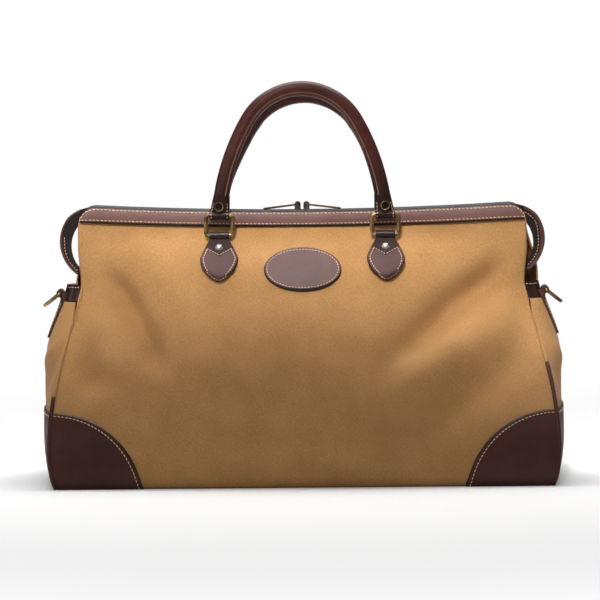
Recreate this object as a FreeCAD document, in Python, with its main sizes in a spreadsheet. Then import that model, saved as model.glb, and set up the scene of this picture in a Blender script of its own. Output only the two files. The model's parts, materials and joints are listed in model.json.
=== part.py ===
import FreeCAD, Part
import math
import os
import Sketcher

# Soft doctor bag: canvas body on a hinged steel mouth frame, leather trim, two rolled handles.
# Millimetres. X runs along the bag, -Y is the front, +Z is up. Origin: bottom centre of the base.

os.makedirs("parts", exist_ok=True)
doc = FreeCAD.newDocument("doctor_bag")
V = FreeCAD.Vector

# Stations of the soft body, floor to mouth. At each height the plan is four arcs: corners at half
# length and half depth, and a bulge of the long sides and of the ends beyond those corners.
STATIONS = {
    "floor": (0, 252, 115, 3, 5),
    "heel": (14, 257, 120, 4, 8),
    "belly": (80, 257, 94, 30, 12),
    "waist": (140, 245, 50, 54, 22),
    "hinge": (192, 231, 17, 55, 18),
    "shoulder": (236, 231, 16.5, 27, 7),
    "collar": (260, 231, 16, 1.2, 1),
    "mouth": (275, 231, 16, 0.1, 1),
}
STATION_SIZES = ("height", "half_length", "half_depth", "bulge", "end_bulge")

SIZES = [
    ("wall", 2.4, "canvas and its lining, one soft wall"),
    ("leather", 1.8, "one layer of trim leather"),
    ("board", 3, "base stiffener"),
    ("fold_gap", 4, "room between the upper and lower parts of a long panel where it folds"),
    ("fold_slope", 0.5, "fall of the fold line per millimetre out from the hinge axis"),
    ("swing_gap", 3, "room between the ends and the part of a long panel that swings"),
    ("part_gap", 0.4, "clearance between pieces that pass each other"),
    ("run_gap", 0.06, "radial clearance of a pin or ring in its hole"),
    ("skin_gap", 0.1, "clearance between trim pieces that lie side by side"),
    ("patch_length", 86, "corner patch along the bag"),
    ("patch_height", 76, "corner patch and end foot, up from the floor"),
    ("piping_radius", 2, "seam piping"),
    ("piping_out", 1.2, "piping centre beyond the panel corner"),
    ("piping_top", 176, "upper end of the piping"),
    ("bar_thick", 3, "steel strip of the frame, in the plane of the mouth"),
    ("bar_width", 7, "steel strip of the frame, across the mouth"),
    ("bar_front", 13.4, "outer face of the strip from the centre plane"),
    ("bar_top", 283, "top of the strip at the ends of the mouth"),
    ("bar_corner", 14, "outer corner radius of the frame"),
    ("rim_sag", 6, "fall of the rim from its ends to its middle"),
    ("front_leg_out", 229.5, "outer face of the front frame's legs"),
    ("lug_radius", 7, "eye round the hinge rivet"),
    ("lug_lap", 6, "overlap of the bent strip and the leg's cranked end"),
    ("rivet_radius", 2.4, "hinge rivet shank"),
    ("rivet_head", 5.5, "hinge rivet head radius"),
    ("rivet_rise", 1.8, "height of the hinge rivet's domed heads"),
    ("band_height", 17, "leather band along the mouth"),
    ("band_edge", 5, "inner edge of the band from the zip's middle"),
    ("zip_half", 6.4, "from the zip's middle to the tape's outer edge"),
    ("tape_thick", 1.4, "zip tape"),
    ("tooth_pitch", 5, "zip teeth"),
    ("tooth_wide", 2.2, "one tooth along the zip"),
    ("tooth_deep", 2.6, "one tooth, height"),
    ("tooth_root", 3.4, "root of a tooth from the zip's middle"),
    ("tooth_past", 1.2, "tip of a tooth past the zip's middle"),
    ("tail_reach", 251.5, "outermost point of the zip's end loops"),
    ("tail_width", 13.5, "width of the strip of a loop"),
    ("tail_high", 256, "height of the outermost point of a loop"),
    ("tail_low", 213.5, "lower end of a loop"),
    ("tail_lap", 6, "length of a loop sewn along the tape's end"),
    ("tail_run", 10, "a loop runs on this far before it bends down"),
    ("tail_shoulder", 16, "height of a loop's shoulder above its outermost point"),
    ("cover_inside", 232, "inner face of the hinge covers"),
    ("cover_low", 186, "lower edge of the hinge covers, top of the canvas ends"),
    ("cover_high", 203, "top of the hinge covers"),
    ("handle_span", 172, "between the two ends of a handle"),
    ("handle_rise", 131, "ring's upper bar to the crown of the handle"),
    ("crown_radius", 64, "bend of the handle at its crown"),
    ("crown_turn", 30, "degrees above level where the crown's bend gives way to the legs"),
    ("grip_radius", 8, "rolled leather grip"),
    ("core_radius", 5.2, "cord inside the grip"),
    ("strap_length", 21, "flattened ends of the handle, from the ring"),
    ("strap_width", 20.4, "flattened ends of the handle and necks of the chapes"),
    ("wire_radius", 2.15, "handle rings"),
    ("ring_width", 27.7, "handle ring, between the centres of its side bars"),
    ("ring_height", 20.7, "handle ring, between the centres of its two bars"),
    ("ring_corner", 3.4, "corner bend of the handle ring"),
    ("loop_leather", 2.2, "leather round a ring's bar"),
    ("ring_pivot_height", 254, "lower bar of the handle rings"),
    ("chape_stand", 3.5, "extra leather that holds the ring off the band"),
    ("front_ring_lean", 5, "degrees towards the middle"),
    ("front_handle_lean", 4, "degrees towards the middle"),
    ("back_ring_lean", 5, "degrees towards the middle"),
    ("back_handle_lean", 13.5, "degrees towards the middle"),
    ("chape_width", 39, "widest part of the chape"),
    ("chape_neck", 14, "length of the chape's neck below the ring's bar"),
    ("chape_widest", 28, "ring's bar to the widest part of the chape"),
    ("chape_length", 53, "ring's bar to the tip of the chape"),
    ("chape_rivet_drop", 14, "ring's bar to the chape's rivet"),
    ("chape_rivet_radius", 4.1, "domed rivet"),
    ("stud_radius", 4.6, "stud at the foot of the handle"),
    ("stud_rise", 9, "ring's bar to the stud"),
    ("badge_length", 80, "oval patch"),
    ("badge_height", 47, "oval patch"),
    ("badge_centre", 222.5, "height of the oval patch's middle"),
    ("badge_thick", 2.2, "oval patch"),
    ("slider_length", 10, "zip slider along the zip"),
    ("slider_half_width", 4.4, "zip slider, half its width"),
    ("slider_start", 1, "inner end of a slider from the bag's middle"),
    ("slider_corner", 1.5, "corners of the slider's plate"),
    ("slider_plate", 1.3, "plate of the slider"),
    ("slider_flange", 0.8, "flanges under the plate's two sides"),
    ("slider_room", 0.45, "air between a slider and the teeth"),
    ("pin_radius", 0.9, "slider's cross pin"),
    ("pin_rise", 5, "cross pin above the slider's plate"),
    ("cheek_radius", 3.2, "rounded cheeks that hold the cross pin"),
    ("cheek_thick", 1.1, "rounded cheeks that hold the cross pin"),
    ("pull_eye", 2.8, "eye of the pull, round the cross pin"),
    ("pull_length", 36, "zip pull"),
    ("pull_width", 7, "zip pull"),
    ("pull_thick", 1.9, "zip pull"),
    ("pull_droop", 7, "degrees, outer end of a pull below level"),
    ("tab_width", 21, "leather tab on each end"),
    ("tab_low", 148, "lower end of the tab"),
    ("tab_thick", 2.2, "leather tab"),
    ("tab_stand", 0.3, "glue and stitching under the tab's loop"),
    ("dring_height", 194, "D-ring's straight bar"),
    ("dring_half_width", 13, "D-ring, centre plane to the centre of its side"),
    ("dring_side", 8, "straight sides of the D-ring"),
    ("dring_corner", 2.2, "bends at the ends of the D-ring's straight bar"),
    ("dring_wire", 1.75, "D-ring wire radius"),
    ("dring_droop", 38, "degrees below level at rest"),
]

sheet = doc.addObject("Spreadsheet::Sheet", "Sizes")
cells = [
    (f"{name}_{what}", value, f"{name} station")
    for name, values in STATIONS.items()
    for what, value in zip(STATION_SIZES, values)
] + SIZES
for row, (alias, value, meaning) in enumerate(cells, start=1):
    sheet.set(f"A{row}", meaning)
    sheet.set(f"B{row}", str(value))
    sheet.setAlias(f"B{row}", alias)
doc.recompute()
size = {alias: float(sheet.get(alias)) for alias, _, _ in cells}

WIDE = 400
TURN = FreeCAD.Placement(V(0, 0, 0), FreeCAD.Rotation(V(0, 0, 1), 180))
nodes = {}


# ---------------------------------------------------------------- helpers

def keep(obj, label):
    """Makes the object a sub-part: its label becomes its file's name."""
    obj.Label = label
    nodes[label] = obj
    return obj


def feature(name, shape, placement=None):
    obj = doc.addObject("Part::Feature", name)
    obj.Shape = shape
    if placement is not None:
        obj.Placement = placement
    return obj


def turned(source, label):
    """A copy for the back of the bag: half a turn about the upright axis."""
    doc.recompute()
    return keep(feature(label, source.Shape.copy(), TURN.multiply(source.Placement)), label)


def new_body(label):
    return keep(doc.addObject("PartDesign::Body", label), label)


def new_sketch(body, name, plane, offset=None):
    sketch = body.newObject("Sketcher::SketchObject", name)
    origin_plane = next(f for f in body.Origin.OriginFeatures if f.Role == plane)
    sketch.AttachmentSupport = [(origin_plane, "")]
    sketch.MapMode = "FlatFace"
    if offset:
        sketch.setExpression("AttachmentOffset.Base.z", offset)
    return sketch


def flat(point):
    return V(point[0], point[1], 0)


def outline(sketch, start, *steps, closed=True):
    """Joined lines and arcs: a step is an end point, or a pair of (through, end) for an arc."""
    here = first = flat(start)
    edges = []
    for step in steps:
        if isinstance(step[0], tuple):
            through, end = flat(step[0]), flat(step[1])
            edges.append(Part.Arc(here, through, end))
        else:
            end = flat(step)
            edges.append(Part.LineSegment(here, end))
        here = end
    if closed and (here - first).Length > 1e-6:
        edges.append(Part.LineSegment(here, first))
    sketch.addGeometry(edges, False)
    return sketch


def circle(sketch, centre, radius):
    """A circle whose radius follows a cell or an expression."""
    value = sheet.evalExpression(radius)
    number = sketch.addGeometry(Part.Circle(flat(centre), V(0, 0, 1), float(value)))
    rule = sketch.addConstraint(Sketcher.Constraint("Radius", number, float(value)))
    sketch.setExpression(f"Constraints[{rule}]", radius)
    return sketch


def pad(body, sketch, length, both_sides=False, kind="Pad"):
    made = body.newObject(f"PartDesign::{kind}", f"{sketch.Name}_{kind.lower()}")
    made.Profile = sketch
    made.setExpression("Length", length)
    if both_sides:
        made.SideType = "Symmetric"
    return made


def block(x_range, y_range, z_range):
    low = V(x_range[0], y_range[0], z_range[0])
    return Part.makeBox(
        x_range[1] - x_range[0], y_range[1] - y_range[0], z_range[1] - z_range[0], low
    )


def prism_along_x(corners):
    """A wide prism whose outline lies across the bag, in Y and Z."""
    wire = Part.makePolygon([V(-WIDE, y, z) for y, z in corners + corners[:1]])
    return Part.Face(wire).extrude(V(2 * WIDE, 0, 0))


# ---------------------------------------------------------------- the soft body

def station_plan(name, grow):
    """Half length, half depth and the two bulges at a station, grown outwards."""
    values = [size[f"{name}_{what}"] for what in STATION_SIZES]
    height, half_length, half_depth, bulge, end_bulge = values
    return height, half_length + grow, half_depth + grow, bulge, end_bulge


def envelope(name, grow):
    """The bag's outer form, or one parallel to it, through the plans at all stations."""
    plans = []
    for station in STATIONS:
        height, length, depth, bulge, end_bulge = station_plan(station, grow)
        plan = doc.addObject("Sketcher::SketchObject", f"{name}_{station}")
        outline(
            plan,
            (-length, -depth),
            ((0, -depth - bulge), (length, -depth)),
            ((length + end_bulge, 0), (length, depth)),
            ((0, depth + bulge), (-length, depth)),
            ((-length - end_bulge, 0), (-length, -depth)),
        )
        plan.setExpression("Placement.Base.z", f"Sizes.{station}_height")
        plans.append(plan)
    loft = doc.addObject("Part::Loft", name)
    loft.Sections = plans
    loft.Solid = True
    doc.recompute()
    return loft


def long_side_cutter(swing_gap=0):
    """Everything in front of the bag's four seams: it parts the long panel from the ends."""
    reach = 2 * size["hinge_bulge"]
    inset = 0.8 * size["hinge_half_depth"]
    plans = []
    for station in STATIONS:
        height, length, depth, _, _ = station_plan(station, 0)
        if height <= size["hinge_height"]:
            length -= swing_gap
        corners = [
            (-length - reach, -depth - reach),
            (length + reach, -depth - reach),
            (length - inset, -depth + inset),
            (-length + inset, -depth + inset),
        ]
        plans.append(Part.makePolygon([V(x, y, height) for x, y in corners + corners[:1]]))
    return Part.makeLoft(plans, True, False)


def piping_cord(sign):
    """Cord along one front seam, through the corners of all stations."""
    rings = []
    for station in STATIONS:
        height, length, depth, _, _ = station_plan(station, size["piping_out"])
        rings.append(
            Part.Wire(
                Part.makeCircle(size["piping_radius"], V(sign * length, -depth, height))
            )
        )
    return Part.makeLoft(rings, True, False)


outer = envelope("outer", 0)
inner = envelope("inner", -size["wall"])
trim_face = envelope("trim_face", size["leather"])
walls = doc.addObject("Part::Cut", "walls")
walls.Base = outer
walls.Tool = inner
trim = doc.addObject("Part::Cut", "trim")
trim.Base = trim_face
trim.Tool = outer
doc.recompute()

HINGE_Z = size["hinge_height"]
front_side = long_side_cutter()
fall = size["fold_slope"] * WIDE
above_fold = prism_along_x([(0, HINGE_Z), (-WIDE, HINGE_Z - fall), (-WIDE, WIDE), (0, WIDE)])
below = HINGE_Z - size["fold_gap"]
below_fold = prism_along_x([(0, below), (-WIDE, below - fall), (-WIDE, -WIDE), (0, -WIDE)])


def front_face_y(x, z):
    """Where the outer face of the front lies at a place on it."""
    ray = Part.makeLine(V(x, -WIDE, z), V(x, 0, z))
    return outer.Shape.common(ray).BoundBox.YMin


def end_face_x(z):
    """Where the ridge of the right end lies at a height."""
    ray = Part.makeLine(V(0, 0, z), V(WIDE, 0, z))
    return outer.Shape.common(ray).BoundBox.XMax


def long_panels():
    lower = walls.Shape.common(front_side).common(below_fold)
    swinging_side = long_side_cutter(size["swing_gap"])
    upper = walls.Shape.common(swinging_side).common(above_fold)
    return keep(feature("front_lower", lower), "front_panel_lower"), upper


def end_pieces(name, sign):
    """Canvas end panel, its leather foot and the leather cover over the hinge."""
    half = (0, WIDE) if sign > 0 else (-WIDE, 0)
    between = block(half, (-WIDE, WIDE), (-1, size["cover_low"]))
    ends = walls.Shape.common(between).cut(front_side)
    ends = ends.cut(front_side.mirror(V(0, 0, 0), V(0, 1, 0)))
    keep(feature(f"{name}_end", ends), f"{name}_gusset")

    low = block(half, (-WIDE, WIDE), (-1, size["patch_height"]))
    foot = trim.Shape.common(low).cut(front_side)
    foot = foot.cut(front_side.mirror(V(0, 0, 0), V(0, 1, 0)))
    keep(feature(f"{name}_foot", foot), f"{name}_gusset_foot")

    inside = size["cover_inside"]
    reach = sorted((sign * inside, sign * WIDE))
    hood = outer.Shape.common(block(reach, (-WIDE, WIDE), (size["cover_low"], size["cover_high"])))
    hollow_x = sorted((sign * (inside + size["wall"]), sign * WIDE))
    hollow_z = (size["cover_low"] - 1, size["cover_high"] - size["wall"])
    hood = hood.cut(inner.Shape.common(block(hollow_x, (-WIDE, WIDE), hollow_z)))
    hole = Part.makeCylinder(
        size["rivet_radius"], 2 * WIDE, V(-WIDE, 0, HINGE_Z), V(1, 0, 0)
    )
    keep(feature(f"{name}_cover", hood.cut(hole)), f"{name}_hinge_cover")


def corner_patch(name, sign):
    """Quarter oval of leather on a lower front corner."""
    corner = sign * (size["belly_half_length"] + size["leather"])
    across = Part.Ellipse(V(0, 0, 0), size["patch_length"], size["patch_height"])
    oval = Part.Face(Part.Wire(across.toShape())).extrude(V(0, 0, WIDE))
    oval.rotate(V(0, 0, 0), V(1, 0, 0), 90)
    oval.translate(V(corner, 0, 0))
    return keep(feature(name, trim.Shape.common(front_side).common(oval)), name)


def base_pieces():
    skin = inner.Shape.common(block((-WIDE, WIDE), (-WIDE, WIDE), (-1, size["wall"])))
    keep(feature("base_skin", skin), "base_panel")
    inset = envelope("board_face", -size["wall"] - size["part_gap"])
    top = size["wall"] + size["board"]
    board = inset.Shape.common(block((-WIDE, WIDE), (-WIDE, WIDE), (size["wall"], top)))
    keep(feature("base_stiffener", board), "base_board")


lower_panel, upper_panel_shape = long_panels()
turned(lower_panel, "back_panel_lower")
for side_name, side_sign in (("left", -1), ("right", 1)):
    end_pieces(side_name, side_sign)
patch_left = corner_patch("corner_patch_front_left", -1)
patch_right = corner_patch("corner_patch_front_right", 1)
turned(patch_left, "corner_patch_back_right")
turned(patch_right, "corner_patch_back_left")
base_pieces()


def front_piping():
    cords = Part.makeCompound([piping_cord(-1), piping_cord(1)])
    level = block((-WIDE, WIDE), (-WIDE, 0), (size["leather"], size["piping_top"]))
    cords = cords.common(level).cut(outer.Shape)
    return cords.cut(trim.Shape.common(block((-WIDE, WIDE), (-WIDE, 0), (-1, size["patch_height"]))))


piping = keep(feature("piping", front_piping()), "front_piping")
turned(piping, "back_piping")


# ---------------------------------------------------------------- the mouth frame

RIM_HALF = size["front_leg_out"] - size["bar_corner"]


def rim_height(x, top):
    """Height of a rim line that falls by the sag from its ends to its middle."""
    return top - size["rim_sag"] * (1 - (x / RIM_HALF) ** 2)


def rim_line(half, top, foot):
    """Points of a U line over the mouth: legs, corner bends and the sagging top."""
    corner = half - RIM_HALF
    bend = corner * (1 - math.sqrt(0.5))
    return (
        (-half, foot),
        (-half, top - corner),
        ((-half + bend, top - bend), (-half + corner, top)),
        ((0, top - size["rim_sag"]), (half - corner, top)),
        ((half - bend, top - bend), (half, top - corner)),
        (half, foot),
    )


def reversed_line(line):
    """The same line run the other way."""
    ends = [step[1] if isinstance(step[0], tuple) else step for step in line]
    back = [ends[-1]]
    for number in range(len(line) - 1, 0, -1):
        step = line[number]
        start = ends[number - 1]
        back.append((step[0], start) if isinstance(step[0], tuple) else start)
    return tuple(back)


def strip_outline(sketch, half, top, foot, thick):
    """A strip of even thickness that follows the U line on its inside."""
    over = rim_line(half, top, foot)
    under = reversed_line(rim_line(half - thick, top - thick, foot))
    return outline(sketch, *over, *under)


def frame_bar(label, leg_out):
    """Half of the steel frame: one bent strip with an eye at each foot."""
    body = new_body(label)
    thick = size["bar_thick"]
    front = size["bar_front"]
    back = front - size["bar_width"]
    radius = size["lug_radius"]
    lap = size["lug_lap"]
    lug_top = HINGE_Z + 2 * radius
    strip = new_sketch(body, f"{label}_strip", "XZ_Plane", "Sizes.bar_front - Sizes.bar_width")
    strip_outline(strip, leg_out, size["bar_top"], lug_top, thick)
    pad(body, strip, "Sizes.bar_width")
    for number, x in enumerate((leg_out - thick, -leg_out)):
        eye = new_sketch(body, f"{label}_eye{number}", "YZ_Plane", f"{x}")
        shoulder = (radius * math.sqrt(0.5), HINGE_Z + radius * math.sqrt(0.5))
        outline(
            eye,
            (-front, lug_top + lap),
            (-front, lug_top),
            (-radius, HINGE_Z),
            ((0, HINGE_Z - radius), (radius, HINGE_Z)),
            shoulder,
            (-back, lug_top),
            (-back, lug_top + lap),
        )
        pad(body, eye, "Sizes.bar_thick")
        bore = new_sketch(body, f"{label}_bore{number}", "YZ_Plane", f"{x}")
        circle(bore, (0, HINGE_Z), "Sizes.rivet_radius + Sizes.run_gap")
        hole = pad(body, bore, "Sizes.bar_thick", kind="Pocket")
        hole.Reversed = True
    doc.recompute()
    return body


def top_band(label):
    """Leather band: an outer leaf below the rim and a fold over the steel."""
    body = new_body(label)
    leather = size["leather"]
    half = size["front_leg_out"] + size["skin_gap"] + leather
    top = size["bar_top"] + leather
    low = size["bar_top"] + leather - size["band_height"]
    leaf = new_sketch(body, f"{label}_leaf", "XZ_Plane", "Sizes.mouth_half_depth + Sizes.skin_gap * 2")
    over = rim_line(half, top, low)
    sag = size["rim_sag"]
    outline(leaf, *over, ((0, low - sag), (-half, low)))
    pad(body, leaf, "Sizes.leather")
    fold = new_sketch(body, f"{label}_fold", "XZ_Plane", "Sizes.band_edge")
    strip_outline(fold, half, top, low, leather)
    pad(body, fold, "Sizes.mouth_half_depth + Sizes.skin_gap * 2 - Sizes.band_edge")
    return body


def leg_bindings(label, leg_out):
    """Leather strips on the outer faces of a frame's two legs."""
    body = new_body(label)
    low = HINGE_Z + size["lug_radius"] * 1.6
    high = size["bar_top"] + size["leather"] - size["band_height"] - size["skin_gap"]
    near = leg_out + size["skin_gap"]
    far = near + size["leather"]
    for number, (x0, x1) in enumerate(((near, far), (-far, -near))):
        strip = new_sketch(
            body, f"{label}_strip{number}", "XZ_Plane", "Sizes.bar_front - Sizes.bar_width"
        )
        outline(strip, (x0, low), (x1, low), (x1, high), (x0, high))
        pad(body, strip, "Sizes.bar_width")
    return body


front_bar = frame_bar("front_frame_bar", size["front_leg_out"])
back_leg_out = size["front_leg_out"] - size["bar_thick"] - size["part_gap"]
back_bar = frame_bar("back_frame_bar", back_leg_out)
back_bar.Placement = TURN
front_band = top_band("front_top_band")
doc.recompute()


def fitted_upper_panel():
    """The long panel above the fold, let in under the band and clear of the steel."""
    other_bar = back_bar.Shape.copy()
    other_bar.rotate(V(0, 0, 0), V(0, 0, 1), 180)
    shape = upper_panel_shape.cut(front_band.Shape).cut(front_bar.Shape).cut(other_bar)
    cloth = max(shape.Solids, key=lambda solid: solid.Volume)
    return keep(feature("front_upper", cloth), "front_panel_upper")


front_panel = fitted_upper_panel()
turned(front_panel, "back_panel_upper")
turned(front_band, "back_top_band")
leg_bindings("front_leg_bindings", size["front_leg_out"])
back_bindings = leg_bindings("back_leg_bindings", back_leg_out)
back_bindings.Placement = TURN


# ---------------------------------------------------------------- hinges

def hinge_rivet(name, sign):
    """Rivet through both eyes and the cover, with a collar that spaces the cover off."""
    body = new_body(f"{name}_hinge_rivet")
    shank = size["rivet_radius"]
    head = size["rivet_head"]
    inner_face = back_leg_out - size["bar_thick"] - size["part_gap"]
    outer_eye = size["front_leg_out"] + size["run_gap"]
    cover = size["cover_inside"]
    cap = cover + size["wall"]
    rise = size["rivet_rise"]
    ball = (head ** 2 + rise ** 2) / (2 * rise)
    half_way = math.asin(head / ball) / 2
    dome = (ball * math.cos(half_way) - ball + rise, ball * math.sin(half_way))
    profile = new_sketch(body, f"{name}_rivet_profile", "XY_Plane")
    outline(
        profile,
        (inner_face - rise, 0),
        ((inner_face - dome[0], dome[1]), (inner_face, head)),
        (inner_face, shank),
        (outer_eye, shank),
        (outer_eye, head),
        (cover, head),
        (cover, shank),
        (cap, shank),
        (cap, head),
        ((cap + dome[0], dome[1]), (cap + rise, 0)),
    )
    spin = body.newObject("PartDesign::Revolution", f"{name}_rivet_turned")
    spin.Profile = profile
    spin.ReferenceAxis = (profile, ["H_Axis"])
    spin.Angle = 360
    turn = FreeCAD.Rotation(V(0, 0, 1), 0 if sign > 0 else 180)
    body.Placement = FreeCAD.Placement(V(0, 0, HINGE_Z), turn)


for side_name, side_sign in (("left", -1), ("right", 1)):
    hinge_rivet(side_name, side_sign)


# ---------------------------------------------------------------- zip

def zip_tape():
    body = new_body("front_zip_tape")
    strip = new_sketch(body, "tape_strip", "XZ_Plane", "Sizes.tooth_root")
    half = RIM_HALF
    top = size["bar_top"]
    low = top - size["tape_thick"]
    sag = size["rim_sag"]
    outline(strip, (-half, top), ((0, top - sag), (half, top)), (half, low), ((0, low - sag), (-half, low)))
    pad(body, strip, "Sizes.zip_half - Sizes.tooth_root")
    return body


def zip_teeth():
    """One row of teeth; turned about the upright axis it meshes with itself."""
    pitch = size["tooth_pitch"]
    deep = size["tooth_deep"]
    count = int((RIM_HALF - size["tail_lap"]) / pitch)
    teeth = []
    for number in range(-count, count):
        x = (number + 0.25) * pitch
        middle = rim_height(x, size["bar_top"]) - size["tape_thick"] / 2
        tooth = block(
            (x - size["tooth_wide"] / 2, x + size["tooth_wide"] / 2),
            (-size["tooth_root"], size["tooth_past"]),
            (middle - deep / 2, middle + deep / 2),
        )
        teeth.append(tooth)
    return keep(feature("teeth_row", Part.makeCompound(teeth)), "front_zip_teeth")


def end_loop():
    """The zip's facing past each end of the mouth: it loops out and back to the hinge."""
    body = new_body("front_zip_ends")
    reach = size["tail_reach"]
    width = size["tail_width"]
    high = size["tail_high"]
    low = size["tail_low"]
    top = size["bar_top"]
    run = size["tail_run"]
    shoulder = size["tail_shoulder"]
    start = RIM_HALF - size["tail_lap"] + size["part_gap"] + size["tooth_wide"]
    foot = size["cover_inside"] + width / 4
    inside = reach - width
    for number, sign in enumerate((-1, 1)):
        strip = new_sketch(body, f"loop{number}", "XZ_Plane", "Sizes.part_gap * 2")
        outline(
            strip,
            (sign * start, top),
            ((sign * (start + run), top), (sign * (reach - shoulder * 0.45), high + shoulder)),
            ((sign * reach, high), (sign * foot, low)),
            (sign * (foot - width * 0.8), low),
            ((sign * inside, high), (sign * (inside - shoulder * 0.4), high + shoulder * 0.6)),
            ((sign * (start + run * 0.8), top - width), (sign * start, top - width)),
        )
        pad(body, strip, "Sizes.tooth_root - Sizes.part_gap * 2")
    return body


tape = zip_tape()
doc.recompute()
turned(tape, "back_zip_tape")
teeth_row = zip_teeth()
turned(teeth_row, "back_zip_teeth")
loops = end_loop()
doc.recompute()
turned(loops, "back_zip_ends")


# ---------------------------------------------------------------- chapes and badge

LOOP_RADIUS = size["wire_radius"] + size["run_gap"] + size["loop_leather"]
PIVOT_X = size["handle_span"] / 2
chape_low = size["ring_pivot_height"] - size["chape_length"] * 0.83
SLOPE = math.atan2(
    front_face_y(PIVOT_X, size["ring_pivot_height"]) - front_face_y(PIVOT_X, chape_low),
    size["ring_pivot_height"] - chape_low,
)
PIVOT_Y = front_face_y(PIVOT_X, size["ring_pivot_height"]) - LOOP_RADIUS / math.cos(SLOPE)
PIVOT_Y -= size["chape_stand"]
ring_pivot = V(0, PIVOT_Y, size["ring_pivot_height"])


def on_front(x, height_from_pivot=0):
    """Placement on the plane of the chapes: X along the bag, Y up the slope, Z outwards."""
    lean = FreeCAD.Rotation(V(1, 0, 0), 90 - math.degrees(SLOPE))
    base = ring_pivot + V(x, 0, 0)
    return FreeCAD.Placement(base, lean).multiply(
        FreeCAD.Placement(V(0, height_from_pivot, 0), FreeCAD.Rotation())
    )


def chape(name, sign):
    """Leather leaf, doubled round the ring's bar and sewn to the front."""
    neck = size["strap_width"] / 2
    widest = size["chape_width"] / 2
    drop = size["chape_neck"]
    broad = size["chape_widest"]
    tip = size["chape_length"]
    throat = drop * 0.4
    hollow = (neck + widest) * 0.48
    flank = (widest * 0.72, -broad - (tip - broad) * 0.58)
    point = (widest * 0.2, -tip + widest * 0.06)
    leaf = doc.addObject("Sketcher::SketchObject", f"{name}_leaf")
    outline(
        leaf,
        (-neck, 0),
        (-neck, -throat),
        ((-hollow, -drop), (-widest, -broad)),
        ((-flank[0], flank[1]), (-point[0], point[1])),
        ((0, -tip), point),
        (flank, (widest, -broad)),
        ((hollow, -drop), (neck, -throat)),
        (neck, 0),
    )
    doc.recompute()
    face = Part.Face(Part.Wire(Part.__sortEdges__(leaf.Shape.Edges)))
    solid = face.extrude(V(0, 0, 3 * LOOP_RADIUS))
    solid.translate(V(0, 0, -3 * LOOP_RADIUS))
    loop = Part.makeCylinder(LOOP_RADIUS, 2 * neck, V(-neck, 0, 0), V(1, 0, 0))
    bore = Part.makeCylinder(
        size["wire_radius"] + size["run_gap"], 4 * neck, V(-2 * neck, 0, 0), V(1, 0, 0)
    )
    solid = solid.fuse(loop).cut(bore)
    solid.Placement = on_front(sign * PIVOT_X)
    piece = feature(name, solid.cut(outer.Shape))
    return keep(piece, name)


def chape_rivets():
    """Domed rivets on the two chapes."""
    domes = []
    radius = size["chape_rivet_radius"]
    rise = radius * 0.45
    ball = (radius ** 2 + rise ** 2) / (2 * rise)
    for sign in (-1, 1):
        dome = Part.makeSphere(ball, V(0, 0, rise - ball))
        dome = dome.common(Part.makeCylinder(radius, 2 * rise, V(0, 0, 0)))
        dome.Placement = on_front(sign * PIVOT_X, -size["chape_rivet_drop"])
        domes.append(dome)
    return keep(feature("rivet_domes", Part.makeCompound(domes)), "front_chape_rivets")


def badge():
    """Bare oval leather patch on the front."""
    half = size["badge_height"] / 2
    top_y = front_face_y(0, size["badge_centre"] + half)
    low_y = front_face_y(0, size["badge_centre"] - half)
    slope = math.degrees(math.atan2(top_y - low_y, 2 * half))
    oval = Part.Face(
        Part.Wire(Part.Ellipse(V(0, 0, 0), size["badge_length"] / 2, half).toShape())
    )
    lean = FreeCAD.Rotation(V(1, 0, 0), 90 - slope)
    base = V(0, front_face_y(0, size["badge_centre"]), size["badge_centre"])
    column = oval.extrude(V(0, 0, WIDE))
    column.translate(V(0, 0, -WIDE / 8))
    column.Placement = FreeCAD.Placement(base, lean).multiply(column.Placement)
    skin = envelope("badge_face", size["badge_thick"])
    shape = skin.Shape.cut(outer.Shape).common(column)
    return keep(feature("oval", shape), "front_badge")


for side_name, side_sign in (("left", -1), ("right", 1)):
    front_chape = chape(f"front_chape_{side_name}", side_sign)
    other = "right" if side_name == "left" else "left"
    turned(front_chape, f"back_chape_{other}")
turned(chape_rivets(), "back_chape_rivets")
badge()


# ---------------------------------------------------------------- rings and handles

def ring(label):
    """Rounded rectangle of round wire; its lower bar is on the body's X axis."""
    body = new_body(label)
    half = size["ring_width"] / 2
    tall = size["ring_height"]
    corner = size["ring_corner"]
    bend = corner * (1 - math.sqrt(0.5))
    path = new_sketch(body, f"{label}_path", "XZ_Plane")
    outline(
        path,
        (0, 0),
        (half - corner, 0),
        ((half - bend, bend), (half, corner)),
        (half, tall - corner),
        ((half - bend, tall - bend), (half - corner, tall)),
        (0, tall),
        closed=False,
    )
    wire = new_sketch(body, f"{label}_wire", "YZ_Plane")
    circle(wire, (0, 0), "Sizes.wire_radius")
    pipe = body.newObject("PartDesign::AdditivePipe", f"{label}_half")
    pipe.Profile = wire
    pipe.Spine = (path, [])
    pipe.Transition = "Transformed"
    mirrored(body, f"{label}_whole", pipe)
    return body


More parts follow.
